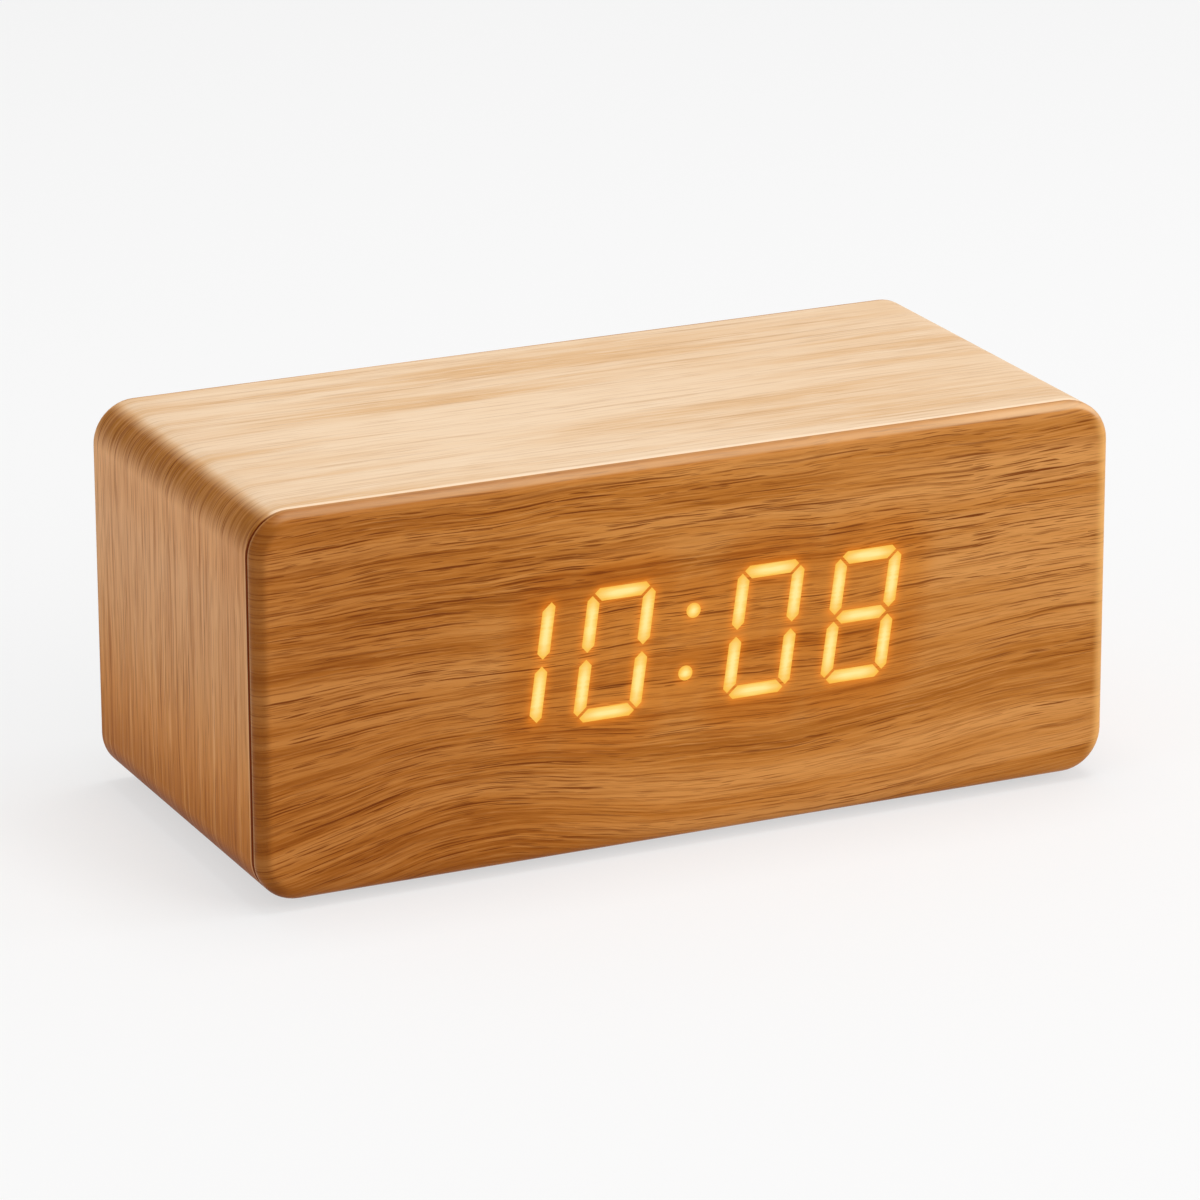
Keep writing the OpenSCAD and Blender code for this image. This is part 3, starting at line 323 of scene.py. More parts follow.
def rim(t, x, z):
    """How far in from the block's outline a point is, and which way that outline faces there."""
    half_w, half_h = CASE_HIGH.x - CORNER_R, (CASE_HIGH.z - CASE_LOW.z) / 2 - CORNER_R
    z = t.sub(z, (CASE_LOW.z + CASE_HIGH.z) / 2)
    off_x, off_z = t.beyond(t.size(x), half_w), t.beyond(t.size(z), half_h)
    reach = t.math("SQRT", t.add(t.square(off_x), t.square(off_z)))
    scale = t.math("DIVIDE", 1.0, t.most(reach, 0.01))
    side = t.mul(off_x, t.math("SIGN", x), scale)
    up = t.mul(off_z, t.math("SIGN", z), scale)
    return t.sub(CORNER_R, reach), side, up


FRONT_LIGHT, FRONT_MID, FRONT_DARK = srgb(216, 148, 76), srgb(194, 121, 45), srgb(148, 77, 5)
# The second and third colours here are painted shade: on the left and lower round-overs, and in the
# seam behind the rim.
FRONT_PORE, FRONT_EDGE_SHADE, FRONT_SEAM_SHADE = srgb(118, 53, 0), srgb(98, 44, 0), srgb(104, 44, 0)
# Painted highlights: the first colour on the right round-over and the rim's back edge, the second
# on the top edge and its right corner.
FRONT_EDGE_HIGHLIGHT, FRONT_TOP_HIGHLIGHT = srgb(241, 182, 104), srgb(240, 198, 152)
FRONT_GLOW = (0.25, 0.06, 0.0)
# Veins, pores and flecks: length, pitch and half width in millimetres, rarity and seed
FRONT_STROKES = (
    (24.0, 1.7, 0.19, 0.42, 0.0),
    (10.0, 0.85, 0.15, 0.42, 150.3),
    (5.0, 0.45, 0.11, 0.42, 320.7),
)
FRONT_STROKE_SHARES = (0.92, 0.84, 0.68)


def front_grain(t, x, y, rise):
    """The front's noises from wide to fine, its dark strokes, and how these crowd together."""
    level = grain_level(t, x, rise)
    deep = t.mul(y, 1 / 20.0)
    bands = t.noise(t.mul(x, 1 / 120.0), deep, t.mul(level, 1 / 5.5), 2.0, 0.55)
    streaks = t.noise(t.mul(x, 1 / 45.0), deep, t.mul(level, 1.1), 3.0, 0.6)
    fibres = t.noise(t.mul(x, 1 / 12.0), deep, t.mul(level, 3.2), 3.0, 0.65)
    strokes = [t.strokes(x, level, *row) for row in FRONT_STROKES]
    # They crowd at the top and the left, and thin out to the lower right
    crowd = t.noise(t.mul(x, 1 / 36.0), t.add(deep, 7.0), t.mul(level, 1 / 4.0), 2.0)
    crowd = t.add(crowd, t.mul(t.step(rise, 30.0, 60.0), 0.06))
    crowd = t.add(crowd, t.mul(t.step(x, 10.0, -70.0), 0.11))
    crowd = t.sub(crowd, t.mul(t.step(x, -10.0, 60.0), t.step(rise, 34.0, 8.0), 0.1))
    busy = t.span(t.step(crowd, 0.38, 0.62), 0.0, 1.0, 0.3, 1.0)
    return bands, streaks, fibres, strokes, busy


def front_edges(t, colour, inset, side, up):
    """Painted shade on the left and lower round-overs and in the seam, and painted highlights on
    the right, top and rim-back edges.
    """
    x, y, _ = t.xyz()
    # Painted shade on the left and lower round-overs
    left = t.mul(t.step(inset, 2.8, 1.2), t.step(side, -0.2, -0.8), 0.42)
    below = t.mul(t.step(inset, 4.0, 0.2), t.step(up, -0.3, -0.8), 0.22)
    colour = t.mix(t.add(left, below), colour, FRONT_EDGE_SHADE)
    # Painted highlights on the right round-over and along the back edge of the rim
    right = t.mul(t.step(inset, 2.7, 1.0), t.step(side, 0.55, 1.0), 0.56)
    behind = t.mul(t.step(y, RIM_BACK - 0.5, RIM_BACK - 0.25), 0.2)
    colour = t.mix(t.most(right, behind), colour, FRONT_EDGE_HIGHLIGHT)
    # Painted highlight along the top round-over, stronger towards the right, and a painted glint at
    # the top right corner
    top = t.mul(t.step(inset, 1.1, 0.6), t.step(up, 0.35, 0.85), t.step(side, -0.6, -0.1))
    along_top = t.add(t.span(x, -68.0, -40.0, 0.28, 0.42), t.mul(t.step(x, 30.0, 62.0), 0.32))
    top = t.mul(top, along_top, t.span(y, RIM_BACK - 0.3, RIM_BACK - 1.3, 0.25, 1.0))
    corner = t.mul(t.step(side, 0.05, 0.6), t.step(up, 0.05, 0.6), t.step(inset, 1.5, 0.3), 0.25)
    colour = t.mix(t.most(top, corner), colour, FRONT_TOP_HIGHLIGHT)
    # Painted shade on the tongue inside the seam behind the rim
    return t.mix(t.step(y, RIM_BACK + 0.02, RIM_BACK + 0.12), colour, FRONT_SEAM_SHADE)


def front_wood():
    """Oiled veneer: fine near-level lines, short dark pores in bands and a soft satin."""
    t = Tree("front_wood")
    x, y, z = t.xyz()
    rise = t.sub(z, CASE_LOW.z)
    inset, side, up = rim(t, x, z)
    bands, streaks, fibres, strokes, busy = front_grain(t, x, y, rise)
    calm = t.span(inset, 0.5, 3.0, 0.5, 1.0)
    strong = t.mul(t.span(x, -60.0, 50.0, 1.25, 0.95), calm)
    colour = t.layers(
        FRONT_MID,
        (bands, 0.38, 0.66, 1.0, FRONT_LIGHT),
        (bands, 0.47, 0.3, 0.4, FRONT_DARK),
        (streaks, 0.5, 0.3, t.mul(strong, 0.45), FRONT_DARK),
        (streaks, 0.52, 0.72, t.mul(strong, 0.46), FRONT_LIGHT),
        (fibres, 0.5, 0.28, t.mul(strong, 0.6), FRONT_DARK),
        (fibres, 0.5, 0.72, t.mul(strong, 0.56), FRONT_LIGHT),
    )
    # The left end is deeper, the right end is paler, and the lamps warm the wood about the bars
    from_bar = bar_distance(t)
    colour = t.shades(
        colour,
        (t.add(x, t.mul(rise, 0.3)), 8.0, FRONT_LOW.x + 16.0, (0.84, 0.78, 0.74)),
        (x, -10.0, FRONT_HIGH.x, (1.01, 1.05, 1.18)),
        (from_bar, 9.0, 3.5, (0.93, 0.78, 0.47)),
    )
    for marks, share in zip(strokes, FRONT_STROKE_SHARES):
        colour = t.mix(t.mul(marks, busy, calm, share), colour, FRONT_PORE)
    # The round-overs and the seam carry painted shade and painted highlights
    colour = front_edges(t, colour, inset, side, up)

    veins, pores, flecks = strokes
    height = t.mul(t.add(fibres, streaks), GRAIN_RELIEF)
    height = t.sub(height, t.mul(t.add(veins, t.add(pores, flecks)), GRAIN_RELIEF))
    roughness = t.add(t.mul(pores, 0.15), t.span(streaks, 0.3, 0.7, 0.38, 0.3))
    glow = t.mul(t.beyond(from_bar, BAR_HALF), -1 / HALO_REACH)
    glow = t.square(t.most(t.add(glow, 1.0), 0.0))
    glow = t.mul(glow, t.step(y, FRONT_LOW.y + 0.7, FRONT_LOW.y + 0.1))
    t.put(t.shader.inputs["Emission Color"], t.tint(FRONT_GLOW, glow))
    t.shader.inputs["Emission Strength"].default_value = 1.0
    return t.finish(colour, roughness, t.bump(height), Specular_IOR_Level=WOOD_SPECULAR)


# Veneer round the block: tones of its pale top and browner sides, whose difference is partly
# painted light from above, and of its edges
TOP_PALE, TOP_BAND, TOP_RIGHT = srgb(242, 212, 177), srgb(227, 183, 133), srgb(230, 190, 146)
TOP_STREAK, TOP_FIBRE, TOP_LEFT = srgb(203, 157, 110), srgb(250, 228, 202), srgb(206, 156, 108)
TOP_MARK = srgb(184, 134, 88)
SIDE_UPPER, SIDE_LOWER, SIDE_BAND = srgb(239, 186, 138), srgb(203, 131, 44), srgb(178, 108, 46)
SIDE_DARK, SIDE_LIGHT, SIDE_FIBRE = srgb(168, 98, 40), srgb(236, 182, 128), srgb(160, 94, 38)
SIDE_MARK, CORNER_BROWN, BLOTCH = srgb(120, 58, 6), srgb(163, 101, 29), srgb(122, 62, 10)
SAWN_PALE, SAWN_DARK = srgb(222, 172, 118), srgb(184, 128, 74)
# Painted highlights along the block's front edge, on the sides and on the top
EDGE_HIGHLIGHT_SIDE, EDGE_HIGHLIGHT_TOP = srgb(240, 196, 146), srgb(255, 228, 196)
# Painted shadow in the seam at the block's front end, paler on the top
SEAM_SHADE_TOP, SEAM_SHADE_SIDE = srgb(200, 144, 90), srgb(112, 44, 0)


def case_top(t, turned, bands, streaks, fibres, marks):
    """Pale wood of the top, paler than the sides partly as painted light from above; the colour
    browns where the surface begins to turn down.
    """
    x, _, _ = t.xyz()
    colour = t.layers(
        TOP_PALE,
        (bands, 0.42, 0.7, 1.0, TOP_BAND),
        (x, -20.0, 75.0, 0.35, TOP_RIGHT),
        (streaks, 0.48, 0.26, 0.62, TOP_STREAK),
        (fibres, 0.5, 0.7, 0.42, TOP_FIBRE),
        (x, -48.0, -72.0, 0.1, TOP_LEFT),
    )
    colour = t.mix(t.mul(marks, 0.28), colour, TOP_MARK)
    return t.shades(colour, (turned, 0.2, 0.5, (1.0, 0.88, 0.72)))


def case_side(t, corner_noise, down, up, bands, streaks, fibres, marks):
    """Wood of the sides, browner than the top partly because the top carries painted light: darker
    round the upper corners and towards the floor, with painted shade near the floor.
    """
    _, y, z = t.xyz()
    colour = t.mix(t.span(down, 6.0, 60.0, 0.0, 1.0), SIDE_UPPER, SIDE_LOWER)
    colour = t.mix(t.span(y, 20.0, -34.0, 0.0, 0.25), colour, SIDE_LOWER)
    colour = t.layers(
        colour,
        (bands, 0.48, 0.3, 0.32, SIDE_BAND),
        (streaks, 0.5, 0.28, 0.58, SIDE_DARK),
        (streaks, 0.52, 0.72, 0.54, SIDE_LIGHT),
        (fibres, 0.5, 0.3, 0.4, SIDE_FIBRE),
    )
    colour = t.shades(
        colour,
        (down, 20.0, 9.0, (0.96, 0.88, 0.75)),
        (down, 30.0, 55.0, (1.0, 0.87, 0.6)),
        # Painted shade where the outline turns under, and within some 19 mm of the block's bottom
        (up, 0.0, -0.5, (0.63, 0.51, 0.12)),
        (t.sub(z, CASE_LOW.z), 19.0, 6.0, (0.83, 0.79, 0.55)),
    )
    # A darker band round the upper corners, with dark streaks over it
    corner_band = t.step(up, -0.1, 0.65)
    evenly = t.add(t.mul(t.step(corner_noise, 0.6, 0.4), 0.2), 0.8)
    colour = t.mix(t.mul(corner_band, evenly), colour, CORNER_BROWN)
    colour = t.layers(colour, (streaks, 0.52, 0.38, t.mul(corner_band, 0.45), BLOTCH))
    return t.mix(t.mul(marks, t.add(t.mul(corner_band, 0.3), 0.48)), colour, SIDE_MARK)


def case_edges(t, colour, down, up):
    """Sawn edges of the boards behind, and in front a painted highlight along the front edge and a
    painted shadow in the seam.
    """
    x, y, z = t.xyz()
    inward = t.least(down, t.sub(z, CASE_LOW.z))
    inward = t.least(inward, t.sub(CASE_HIGH.x, t.size(x)))
    sawn = t.noise(t.mul(x, 1 / 26.0), t.mul(inward, 1.7), t.mul(z, 1 / 26.0), 3.0, 0.6)
    sawn = t.mix(t.step(sawn, 0.36, 0.64), SAWN_PALE, SAWN_DARK)
    # Painted shadow in the seam: a thin line at the block's front end, darker on the sides than on
    # the top
    seam_shade = t.mix(t.step(down, 0.1, 1.6), SEAM_SHADE_TOP, SEAM_SHADE_SIDE)
    seam_shade_edge = t.span(up, 0.1, 0.6, CASE_LOW.y + 0.55, CASE_LOW.y + 0.34)
    # Painted highlight along the eased front edge, faint on the sides and strong on the top
    highlight_side, highlight_top = t.mul(t.step(down, 7.0, 12.0), 0.3), t.mul(t.step(down, 0.8, 0.2), 0.8)
    return t.layers(
        colour,
        (y, CASE_HIGH.y - 0.5, CASE_HIGH.y - 0.1, 1.0, sawn),
        (y, CASE_LOW.y + 1.1, CASE_LOW.y + 0.8, highlight_side, EDGE_HIGHLIGHT_SIDE),
        (y, CASE_LOW.y + 1.3, CASE_LOW.y + 0.8, highlight_top, EDGE_HIGHLIGHT_TOP),
        (t.sub(y, seam_shade_edge), 0.0, -0.13, 1.0, seam_shade),
    )


def case_wood():
    """Pale veneer wrapped round the block: its grain runs along the top and down the sides."""
    t = Tree("case_wood")
    x, y, z = t.xyz()
    down = t.sub(CASE_HIGH.z, z)
    along = t.mul(t.math("SIGN", x), t.add(t.size(x), down))
    slow = t.sub(t.noise(t.mul(along, 1 / 55.0), t.mul(y, 1 / 18.0), 3.7, 1.0), 0.5)
    quick = t.sub(t.noise(t.mul(along, 1 / 16.0), t.mul(y, 1 / 5.0), 8.1, 2.0), 0.5)
    across = t.add(y, t.add(t.mul(slow, 3.0), t.mul(quick, 0.6)))

    bands = t.noise(t.mul(along, 1 / 90.0), t.mul(across, 1 / 7.0), 1.3, 3.0, 0.55)
    streaks = t.noise(t.mul(along, 1 / 34.0), t.mul(across, 0.95), 5.2, 4.0, 0.6)
    fibres = t.noise(t.mul(along, 1 / 10.0), t.mul(across, 4.0), 9.4, 2.0, 0.6)
    corner_noise = t.noise(t.mul(along, 1 / 14.0), t.mul(across, 2.2), 4.4, 2.0, 0.6)
    lines = t.strokes(along, across, 30.0, 1.4, 0.16, 0.45, 20.0)
    dashes = t.strokes(along, across, 9.0, 0.7, 0.12, 0.4, 90.0)
    grain = bands, streaks, fibres, t.add(lines, dashes)

    # The top's pale colour, partly painted light from above, ends where the outline has turned a
    # little way down, later at the right
    _, side, up = rim(t, x, z)
    turned = t.sub(t.size(side), t.mul(t.step(x, -10.0, 10.0), 0.22))
    top = t.mul(t.step(turned, 0.67, 0.27), t.step(up, 0.1, 0.4))
    colour = t.mix(top, case_side(t, corner_noise, down, up, *grain), case_top(t, turned, *grain))
    colour = case_edges(t, colour, down, up)

    height = t.mul(t.sub(t.add(fibres, streaks), dashes), GRAIN_RELIEF)
    roughness = t.add(t.mul(dashes, 0.12), t.span(streaks, 0.3, 0.7, 0.52, 0.44))
    return t.finish(colour, roughness, t.bump(height), Specular_IOR_Level=WOOD_SPECULAR)


def block_wood():
    """Raw softwood of the glued corner blocks, with its rings along the depth."""
    t = Tree("block_wood")
    x, _, z = t.xyz()
    wave = t.mul(t.cells(8.0, 25.0, 8.0), 9.0)
    rings = t.math("SINE", t.mul(t.add(t.add(x, z), wave), 2.4))
    fibres = t.cells(0.33, 7.0, 0.33, 3.0, 0.6)
    colour = t.mix(t.step(rings, -0.4, 1.0), srgb(226, 190, 140), srgb(200, 152, 98))
    colour = t.mix(t.mul(t.step(fibres, 0.5, 0.3), 0.4), colour, srgb(168, 118, 70))
    return t.finish(colour, 0.75, t.bump(t.mul(fibres, 0.08)))


# Light, plastics and metals


def digit_light():
    """Light through thin wood: pale yellow along a bar's middle, deeper at its edges and tips."""
    t = Tree("lit_digits")
    grain = t.mul(t.sub(t.cells(4.0, 9.0, 0.5, 3.0), 0.5), 0.8)
    distance = t.add(bar_distance(t), grain)
    from_middle = t.add(bar_distance(t, 0.0), grain)
    colour = t.layers(
        srgb(252, 232, 150),
        (distance, 0.1, 0.7, 1.0, srgb(251, 215, 114)),
        (distance, 0.55, 1.15, 1.0, srgb(250, 187, 68)),
        (from_middle, 1.2, 4.4, 0.75, srgb(248, 186, 64)),
    )
    t.put(t.shader.inputs["Emission Color"], colour)
    t.shader.inputs["Emission Strength"].default_value = 1.0
    return t.finish((0.02, 0.01, 0.002), 0.5, Specular_IOR_Level=0.2)


# Plastics: colour, colour where rubbed or dusty, size of the grain, its depth and the roughness
PLASTICS = {
    "diffuser_film": (srgb(238, 236, 226), srgb(226, 222, 208), 0.3, 0.004, 0.45),
    "mask_plastic": (srgb(26, 26, 28), srgb(52, 52, 54), 0.4, 0.02, 0.6),
    "led_body": (srgb(240, 204, 110), srgb(250, 226, 150), 0.5, 0.004, 0.2),
    "chip_plastic": (srgb(30, 30, 32), srgb(54, 54, 56), 0.25, 0.015, 0.55),
    "holder_plastic": (srgb(34, 34, 36), srgb(62, 62, 64), 0.4, 0.015, 0.5),
    "socket_plastic": (srgb(232, 226, 204), srgb(214, 204, 176), 0.5, 0.01, 0.45),
    "panel_plastic": (srgb(36, 36, 38), srgb(62, 62, 64), 0.45, 0.035, 0.5),
    "switch_plastic": (srgb(38, 38, 40), srgb(66, 66, 68), 0.4, 0.01, 0.45),
    "plunger_plastic": (srgb(228, 228, 222), srgb(206, 204, 194), 0.5, 0.01, 0.4),
    "button_plastic": (srgb(150, 152, 156), srgb(176, 178, 182), 0.35, 0.012, 0.38),
    "slider_plastic": (srgb(200, 200, 200), srgb(222, 222, 222), 0.35, 0.012, 0.38),
    "buzzer_plastic": (srgb(28, 28, 30), srgb(56, 56, 58), 0.4, 0.012, 0.5),
    "wire_red": (srgb(186, 30, 24), srgb(208, 62, 50), 0.6, 0.006, 0.35),
    "wire_black": (srgb(26, 26, 27), srgb(48, 48, 50), 0.6, 0.006, 0.38),
    "foot_rubber": (srgb(38, 37, 36), srgb(74, 71, 68), 0.25, 0.03, 0.85),
    "sign_paint": (srgb(206, 206, 204), srgb(186, 186, 184), 0.3, 0.01, 0.5),
}


def plastic(name):
    """Moulded plastic with a fine grain, faint flow marks and patches of dust."""
    plain, rubbed, grain_mm, depth_mm, gloss = PLASTICS[name]
    t = Tree(name)
    grain = t.cells(grain_mm, grain_mm, grain_mm, 3.0, 0.6)
    flow = t.cells(22.0, 14.0, 9.0, 3.0, 0.6)
    scuffs = t.cells(3.5, 1.5, 0.5, 3.0, 0.65)
    colour = t.layers(
        plain,
        (flow, 0.42, 0.7, 0.35, rubbed),
        (scuffs, 0.6, 0.75, 0.3, rubbed),
        (grain, 0.5, 0.72, 0.25, rubbed),
    )
    roughness = t.add(t.span(flow, 0.3, 0.7, gloss - 0.06, gloss + 0.06), t.mul(grain, 0.08))
    return t.finish(colour, roughness, t.bump(t.mul(grain, depth_mm)))


# Metals: colour, colour where dull, lengths of the brushing's streaks along X, Y and Z, roughness
METALS = {
    "chip_lead": (srgb(204, 205, 204), srgb(168, 168, 166), (0.6, 0.6, 0.6), 0.3),
    "can_metal": (srgb(206, 208, 210), srgb(170, 172, 176), (6.0, 0.3, 0.3), 0.28),
    "cell_steel": (srgb(200, 202, 204), srgb(160, 161, 164), (4.0, 0.4, 0.25), 0.26),
    "strap_metal": (srgb(214, 190, 134), srgb(170, 140, 84), (0.3, 3.0, 3.0), 0.32),
    "screw_steel": (srgb(184, 187, 192), srgb(132, 134, 138), (0.8, 0.8, 0.8), 0.34),
    "spring_wire": (srgb(210, 210, 206), srgb(166, 166, 160), (0.5, 0.5, 0.5), 0.24),
    "contact_nickel": (srgb(212, 210, 202), srgb(172, 168, 156), (0.3, 0.4, 6.0), 0.3),
    "usb_steel": (srgb(196, 198, 202), srgb(150, 152, 156), (5.0, 0.3, 0.3), 0.3),
    "microphone_can": (srgb(198, 200, 204), srgb(160, 162, 166), (0.5, 3.0, 0.5), 0.32),
    "solder": (srgb(206, 206, 204), srgb(160, 160, 158), (0.7, 0.7, 0.7), 0.3),
}


def metal(name):
    """Plated or drawn metal with brushing, cloudy dull patches and small marks."""
    bright, dull, brushing, gloss = METALS[name]
    t = Tree(name)
    streaks = t.cells(*brushing, 3.0, 0.6)
    clouds = t.cells(3.0, 3.0, 3.0, 3.0, 0.6)
    marks = t.cells(0.5, 0.5, 0.5, 1.0)
    colour = t.layers(
        bright,
        (clouds, 0.45, 0.7, 0.6, dull),
        (streaks, 0.45, 0.3, 0.35, dull),
        (marks, 0.68, 0.8, 0.5, t.tint(dull, 0.6)),
    )
    roughness = t.add(t.span(clouds, 0.3, 0.7, gloss, gloss + 0.14), t.mul(streaks, 0.08))
    return t.finish(colour, roughness, t.bump(t.mul(streaks, 0.008)), Metallic=1.0)


def circuit_board():
    """Green solder mask over tracks on a grid, with tinned through holes."""
    t = Tree("circuit_board")
    x, _, z = t.xyz()
    pitch, run = 1.27, 9.0  # in millimetres
    half_track, soft, pad, drill = 0.13, 0.03, 0.3, 0.13  # in pitches
    column, row = t.mul(x, 1 / pitch), t.mul(z, 1 / pitch)
    off_column, off_row = (t.far(t.math("FRACT", v), 0.5) for v in (column, row))
    column, row = t.math("FLOOR", column), t.math("FLOOR", row)
    run_column, run_row = (t.math("FLOOR", t.mul(v, 1 / run)) for v in (x, z))
    level = t.step(off_row, half_track + soft, half_track)
    level = t.mul(level, t.step(t.chance(row, run_column), 0.49, 0.51))
    upright = t.step(off_column, half_track + soft, half_track)
    upright = t.mul(upright, t.step(t.chance(run_row, column), 0.69, 0.71))
    tracks = t.most(level, upright)
    off = t.math("SQRT", t.add(t.square(off_column), t.square(off_row)))
    holes = t.mul(t.step(off, pad + soft, pad), t.step(t.chance(column, row), 0.93, 0.94))
    bore = t.mul(t.step(off, drill + soft, drill), holes)
    weave = t.cells(0.5, 2.0, 0.5, 2.0)
    clouds = t.cells(12.0, 12.0, 12.0, 2.0)
    colour = t.layers(
        srgb(14, 74, 44),
        (clouds, 0.35, 0.7, 1.0, srgb(22, 88, 54)),
        (weave, 0.5, 0.7, 0.25, srgb(40, 104, 70)),
    )
    colour = t.mix(t.mul(tracks, 0.7), colour, srgb(48, 126, 78))
    colour = t.mix(holes, colour, srgb(206, 204, 196))
    colour = t.mix(bore, colour, srgb(24, 24, 22))
    t.put(t.shader.inputs["Metallic"], t.sub(holes, bore))
    height = t.add(t.mul(tracks, 0.035), t.mul(weave, 0.006))
    return t.finish(colour, t.span(clouds, 0.3, 0.7, 0.26, 0.36), t.bump(height))


CELL_LOW, CELL_HIGH = box_mm("battery_2")
CELL_Z = middle("battery_2").z
CELL_PITCH = middle("battery_1").z - CELL_Z


def battery_jacket():
    """A printed sleeve in two colours, with plus and minus signs, over plated steel ends."""
    t = Tree("battery_jacket")
    x, y, z = t.xyz()
    # The middle cell lies the other way round
    turned = t.step(t.far(z, CELL_Z), abs(CELL_PITCH) / 2 + 0.1, abs(CELL_PITCH) / 2)
    from_nub = t.mix(turned, t.sub(box_mm("battery_1")[1].x, x), t.sub(x, CELL_LOW.x))
    from_nub = t.node("SeparateColor", {0: from_nub}).outputs[0]
    rows = t.math("ROUND", t.mul(t.sub(z, CELL_Z), 1 / CELL_PITCH))
    off_z = t.far(z, t.add(t.mul(rows, CELL_PITCH), CELL_Z))
    length = CELL_HIGH.x - CELL_LOW.x
    sign_half, sign_thick, soft = 1.5, 0.32, 0.06
    plus_at, minus_at, nub, base = 7.5, length - 5.0, 2.0, length - 0.6
    sleeve_from, band_from, band_to = 13.0, 14.0, 14.8

    def stroke(at, upright):
        off_x = t.far(from_nub, at)
        long_way, thick_way = (off_z, off_x) if upright else (off_x, off_z)
        return t.mul(
            t.step(long_way, sign_half + soft, sign_half),
            t.step(thick_way, sign_thick + soft, sign_thick),
        )

    plus = t.most(stroke(plus_at, False), stroke(plus_at, True))
    facing = t.step(y, middle("battery_2").y, middle("battery_2").y + 1.0)
    fine = t.cells(0.5, 0.5, 0.5, 2.0)
    wear = t.cells(6.0, 2.0, 2.0, 3.0, 0.6)
    silver, blue = srgb(196, 200, 206), srgb(24, 64, 112)
    colour = t.layers(silver, (from_nub, sleeve_from, sleeve_from + 0.1, 1.0, blue))
    band = t.step(from_nub, band_from, band_from + 0.1)
    colour = t.layers(colour, (from_nub, band_to + 0.1, band_to, band, srgb(214, 216, 220)))
    colour = t.mix(t.mul(plus, facing), colour, srgb(20, 44, 82))
    colour = t.mix(t.mul(stroke(minus_at, False), facing), colour, srgb(226, 228, 232))
    colour = t.layers(colour, (wear, 0.5, 0.8, 0.05, srgb(200, 202, 204)))
    steel = t.most(t.step(from_nub, nub + 0.1, nub), t.step(from_nub, base, base + 0.1))
    colour = t.mix(steel, colour, srgb(204, 205, 206))
    t.put(t.shader.inputs["Metallic"], steel)
    roughness = t.span(wear, 0.3, 0.7, 0.28, 0.4)
    return t.finish(colour, roughness, t.bump(t.mul(fine, 0.004)))


def usb_tongue():
    """Black moulded tongue with a row of gilt contacts on both faces."""
    t = Tree("usb_plastic")
    x, y, _ = t.xyz()
    mid, high = middle("usb_tongue"), box_mm("usb_tongue")[1]
    contact_pitch, contact_len, lip, row_half = 0.5, 2.6, 0.6, 2.9
    in_pitch = t.math("FRACT", t.mul(t.sub(x, mid.x), 1 / contact_pitch))
    gilt = t.step(t.far(in_pitch, 0.5), 0.27, 0.23)
    gilt = t.mul(gilt, t.step(y, high.y - lip, high.y - lip - 0.05))
    gilt = t.mul(gilt, t.step(y, high.y - lip - contact_len - 0.05, high.y - lip - contact_len))
    gilt = t.mul(gilt, t.step(t.far(x, mid.x), row_half + 0.05, row_half))
    grain = t.cells(0.3, 0.3, 0.3)
    colour = t.mix(t.step(grain, 0.4, 0.7), srgb(28, 28, 30), srgb(44, 44, 46))
    colour = t.mix(gilt, colour, srgb(226, 184, 96))
    t.put(t.shader.inputs["Metallic"], gilt)
    height = t.add(t.mul(grain, 0.01), t.mul(gilt, 0.03))
    return t.finish(colour, t.span(gilt, 0.0, 1.0, 0.5, 0.25), t.bump(height))


def capacitor_sleeve():
    """Aluminium can in a dark sleeve, with the pale stripe of its minus side and a scored top."""
    t = Tree("capacitor_sleeve")
    x, y, z = t.xyz()
    mid, high = middle("capacitor"), box_mm("capacitor")[1]
    bare = t.step(y, high.y - 0.35, high.y - 0.25)
    stripe = t.step(t.sub(x, mid.x), 2.3, 2.4)
    score = t.least(t.far(x, mid.x), t.far(z, mid.z))
    score = t.mul(t.step(score, 0.16, 0.1), bare)
    wear = t.cells(1.0, 1.0, 1.0, 3.0)
    colour = t.mix(t.step(wear, 0.4, 0.7), srgb(30, 34, 58), srgb(44, 48, 74))
    colour = t.mix(stripe, colour, srgb(190, 194, 204))
    colour = t.mix(bare, colour, srgb(198, 202, 208))
    t.put(t.shader.inputs["Metallic"], bare)
    height = t.sub(t.mul(wear, 0.01), t.mul(score, 0.12))
    return t.finish(colour, t.span(wear, 0.3, 0.7, 0.3, 0.42), t.bump(height))


def ribbon_jacket():
    """Grey flat cable with one red edge wire."""
    t = Tree("ribbon")
    x, _, _ = t.xyz()
    high = box_mm("ribbon_cable")[1]
    red = t.step(x, high.x - 1.38, high.x - 1.28)
    grain = t.cells(0.4, 5.0, 5.0, 3.0)
    dust = t.cells(4.0, 4.0, 4.0, 3.0)
    colour = t.mix(t.step(dust, 0.4, 0.7), srgb(150, 152, 157), srgb(170, 171, 174))
    colour = t.mix(t.mul(red, 0.9), colour, srgb(176, 40, 34))
    colour = t.mix(t.mul(t.step(grain, 0.5, 0.3), 0.3), colour, srgb(118, 119, 124))
    return t.finish(colour, t.span(dust, 0.3, 0.7, 0.42, 0.56), t.bump(t.mul(grain, 0.01)))


LOOKS = {name: plastic(name) for name in PLASTICS}
LOOKS.update({name: metal(name) for name in METALS})
LOOKS.update(
    {
        "case_wood": case_wood(),
        "front_wood": front_wood(),
        "block_wood": block_wood(),
        "lit_digits": digit_light(),
        "circuit_board": circuit_board(),
        "battery_jacket": battery_jacket(),
        "usb_plastic": usb_tongue(),
        "capacitor_sleeve": capacitor_sleeve(),
        "ribbon": ribbon_jacket(),
    }
)
for row in frame["record"]["subparts"]:
    mesh = nodes[row["node"]].data
    mesh.materials.clear()
    mesh.materials.append(LOOKS[row["material_slot"]])


# Pieces made here: in the place of plain solids, soldered to them or printed on the back


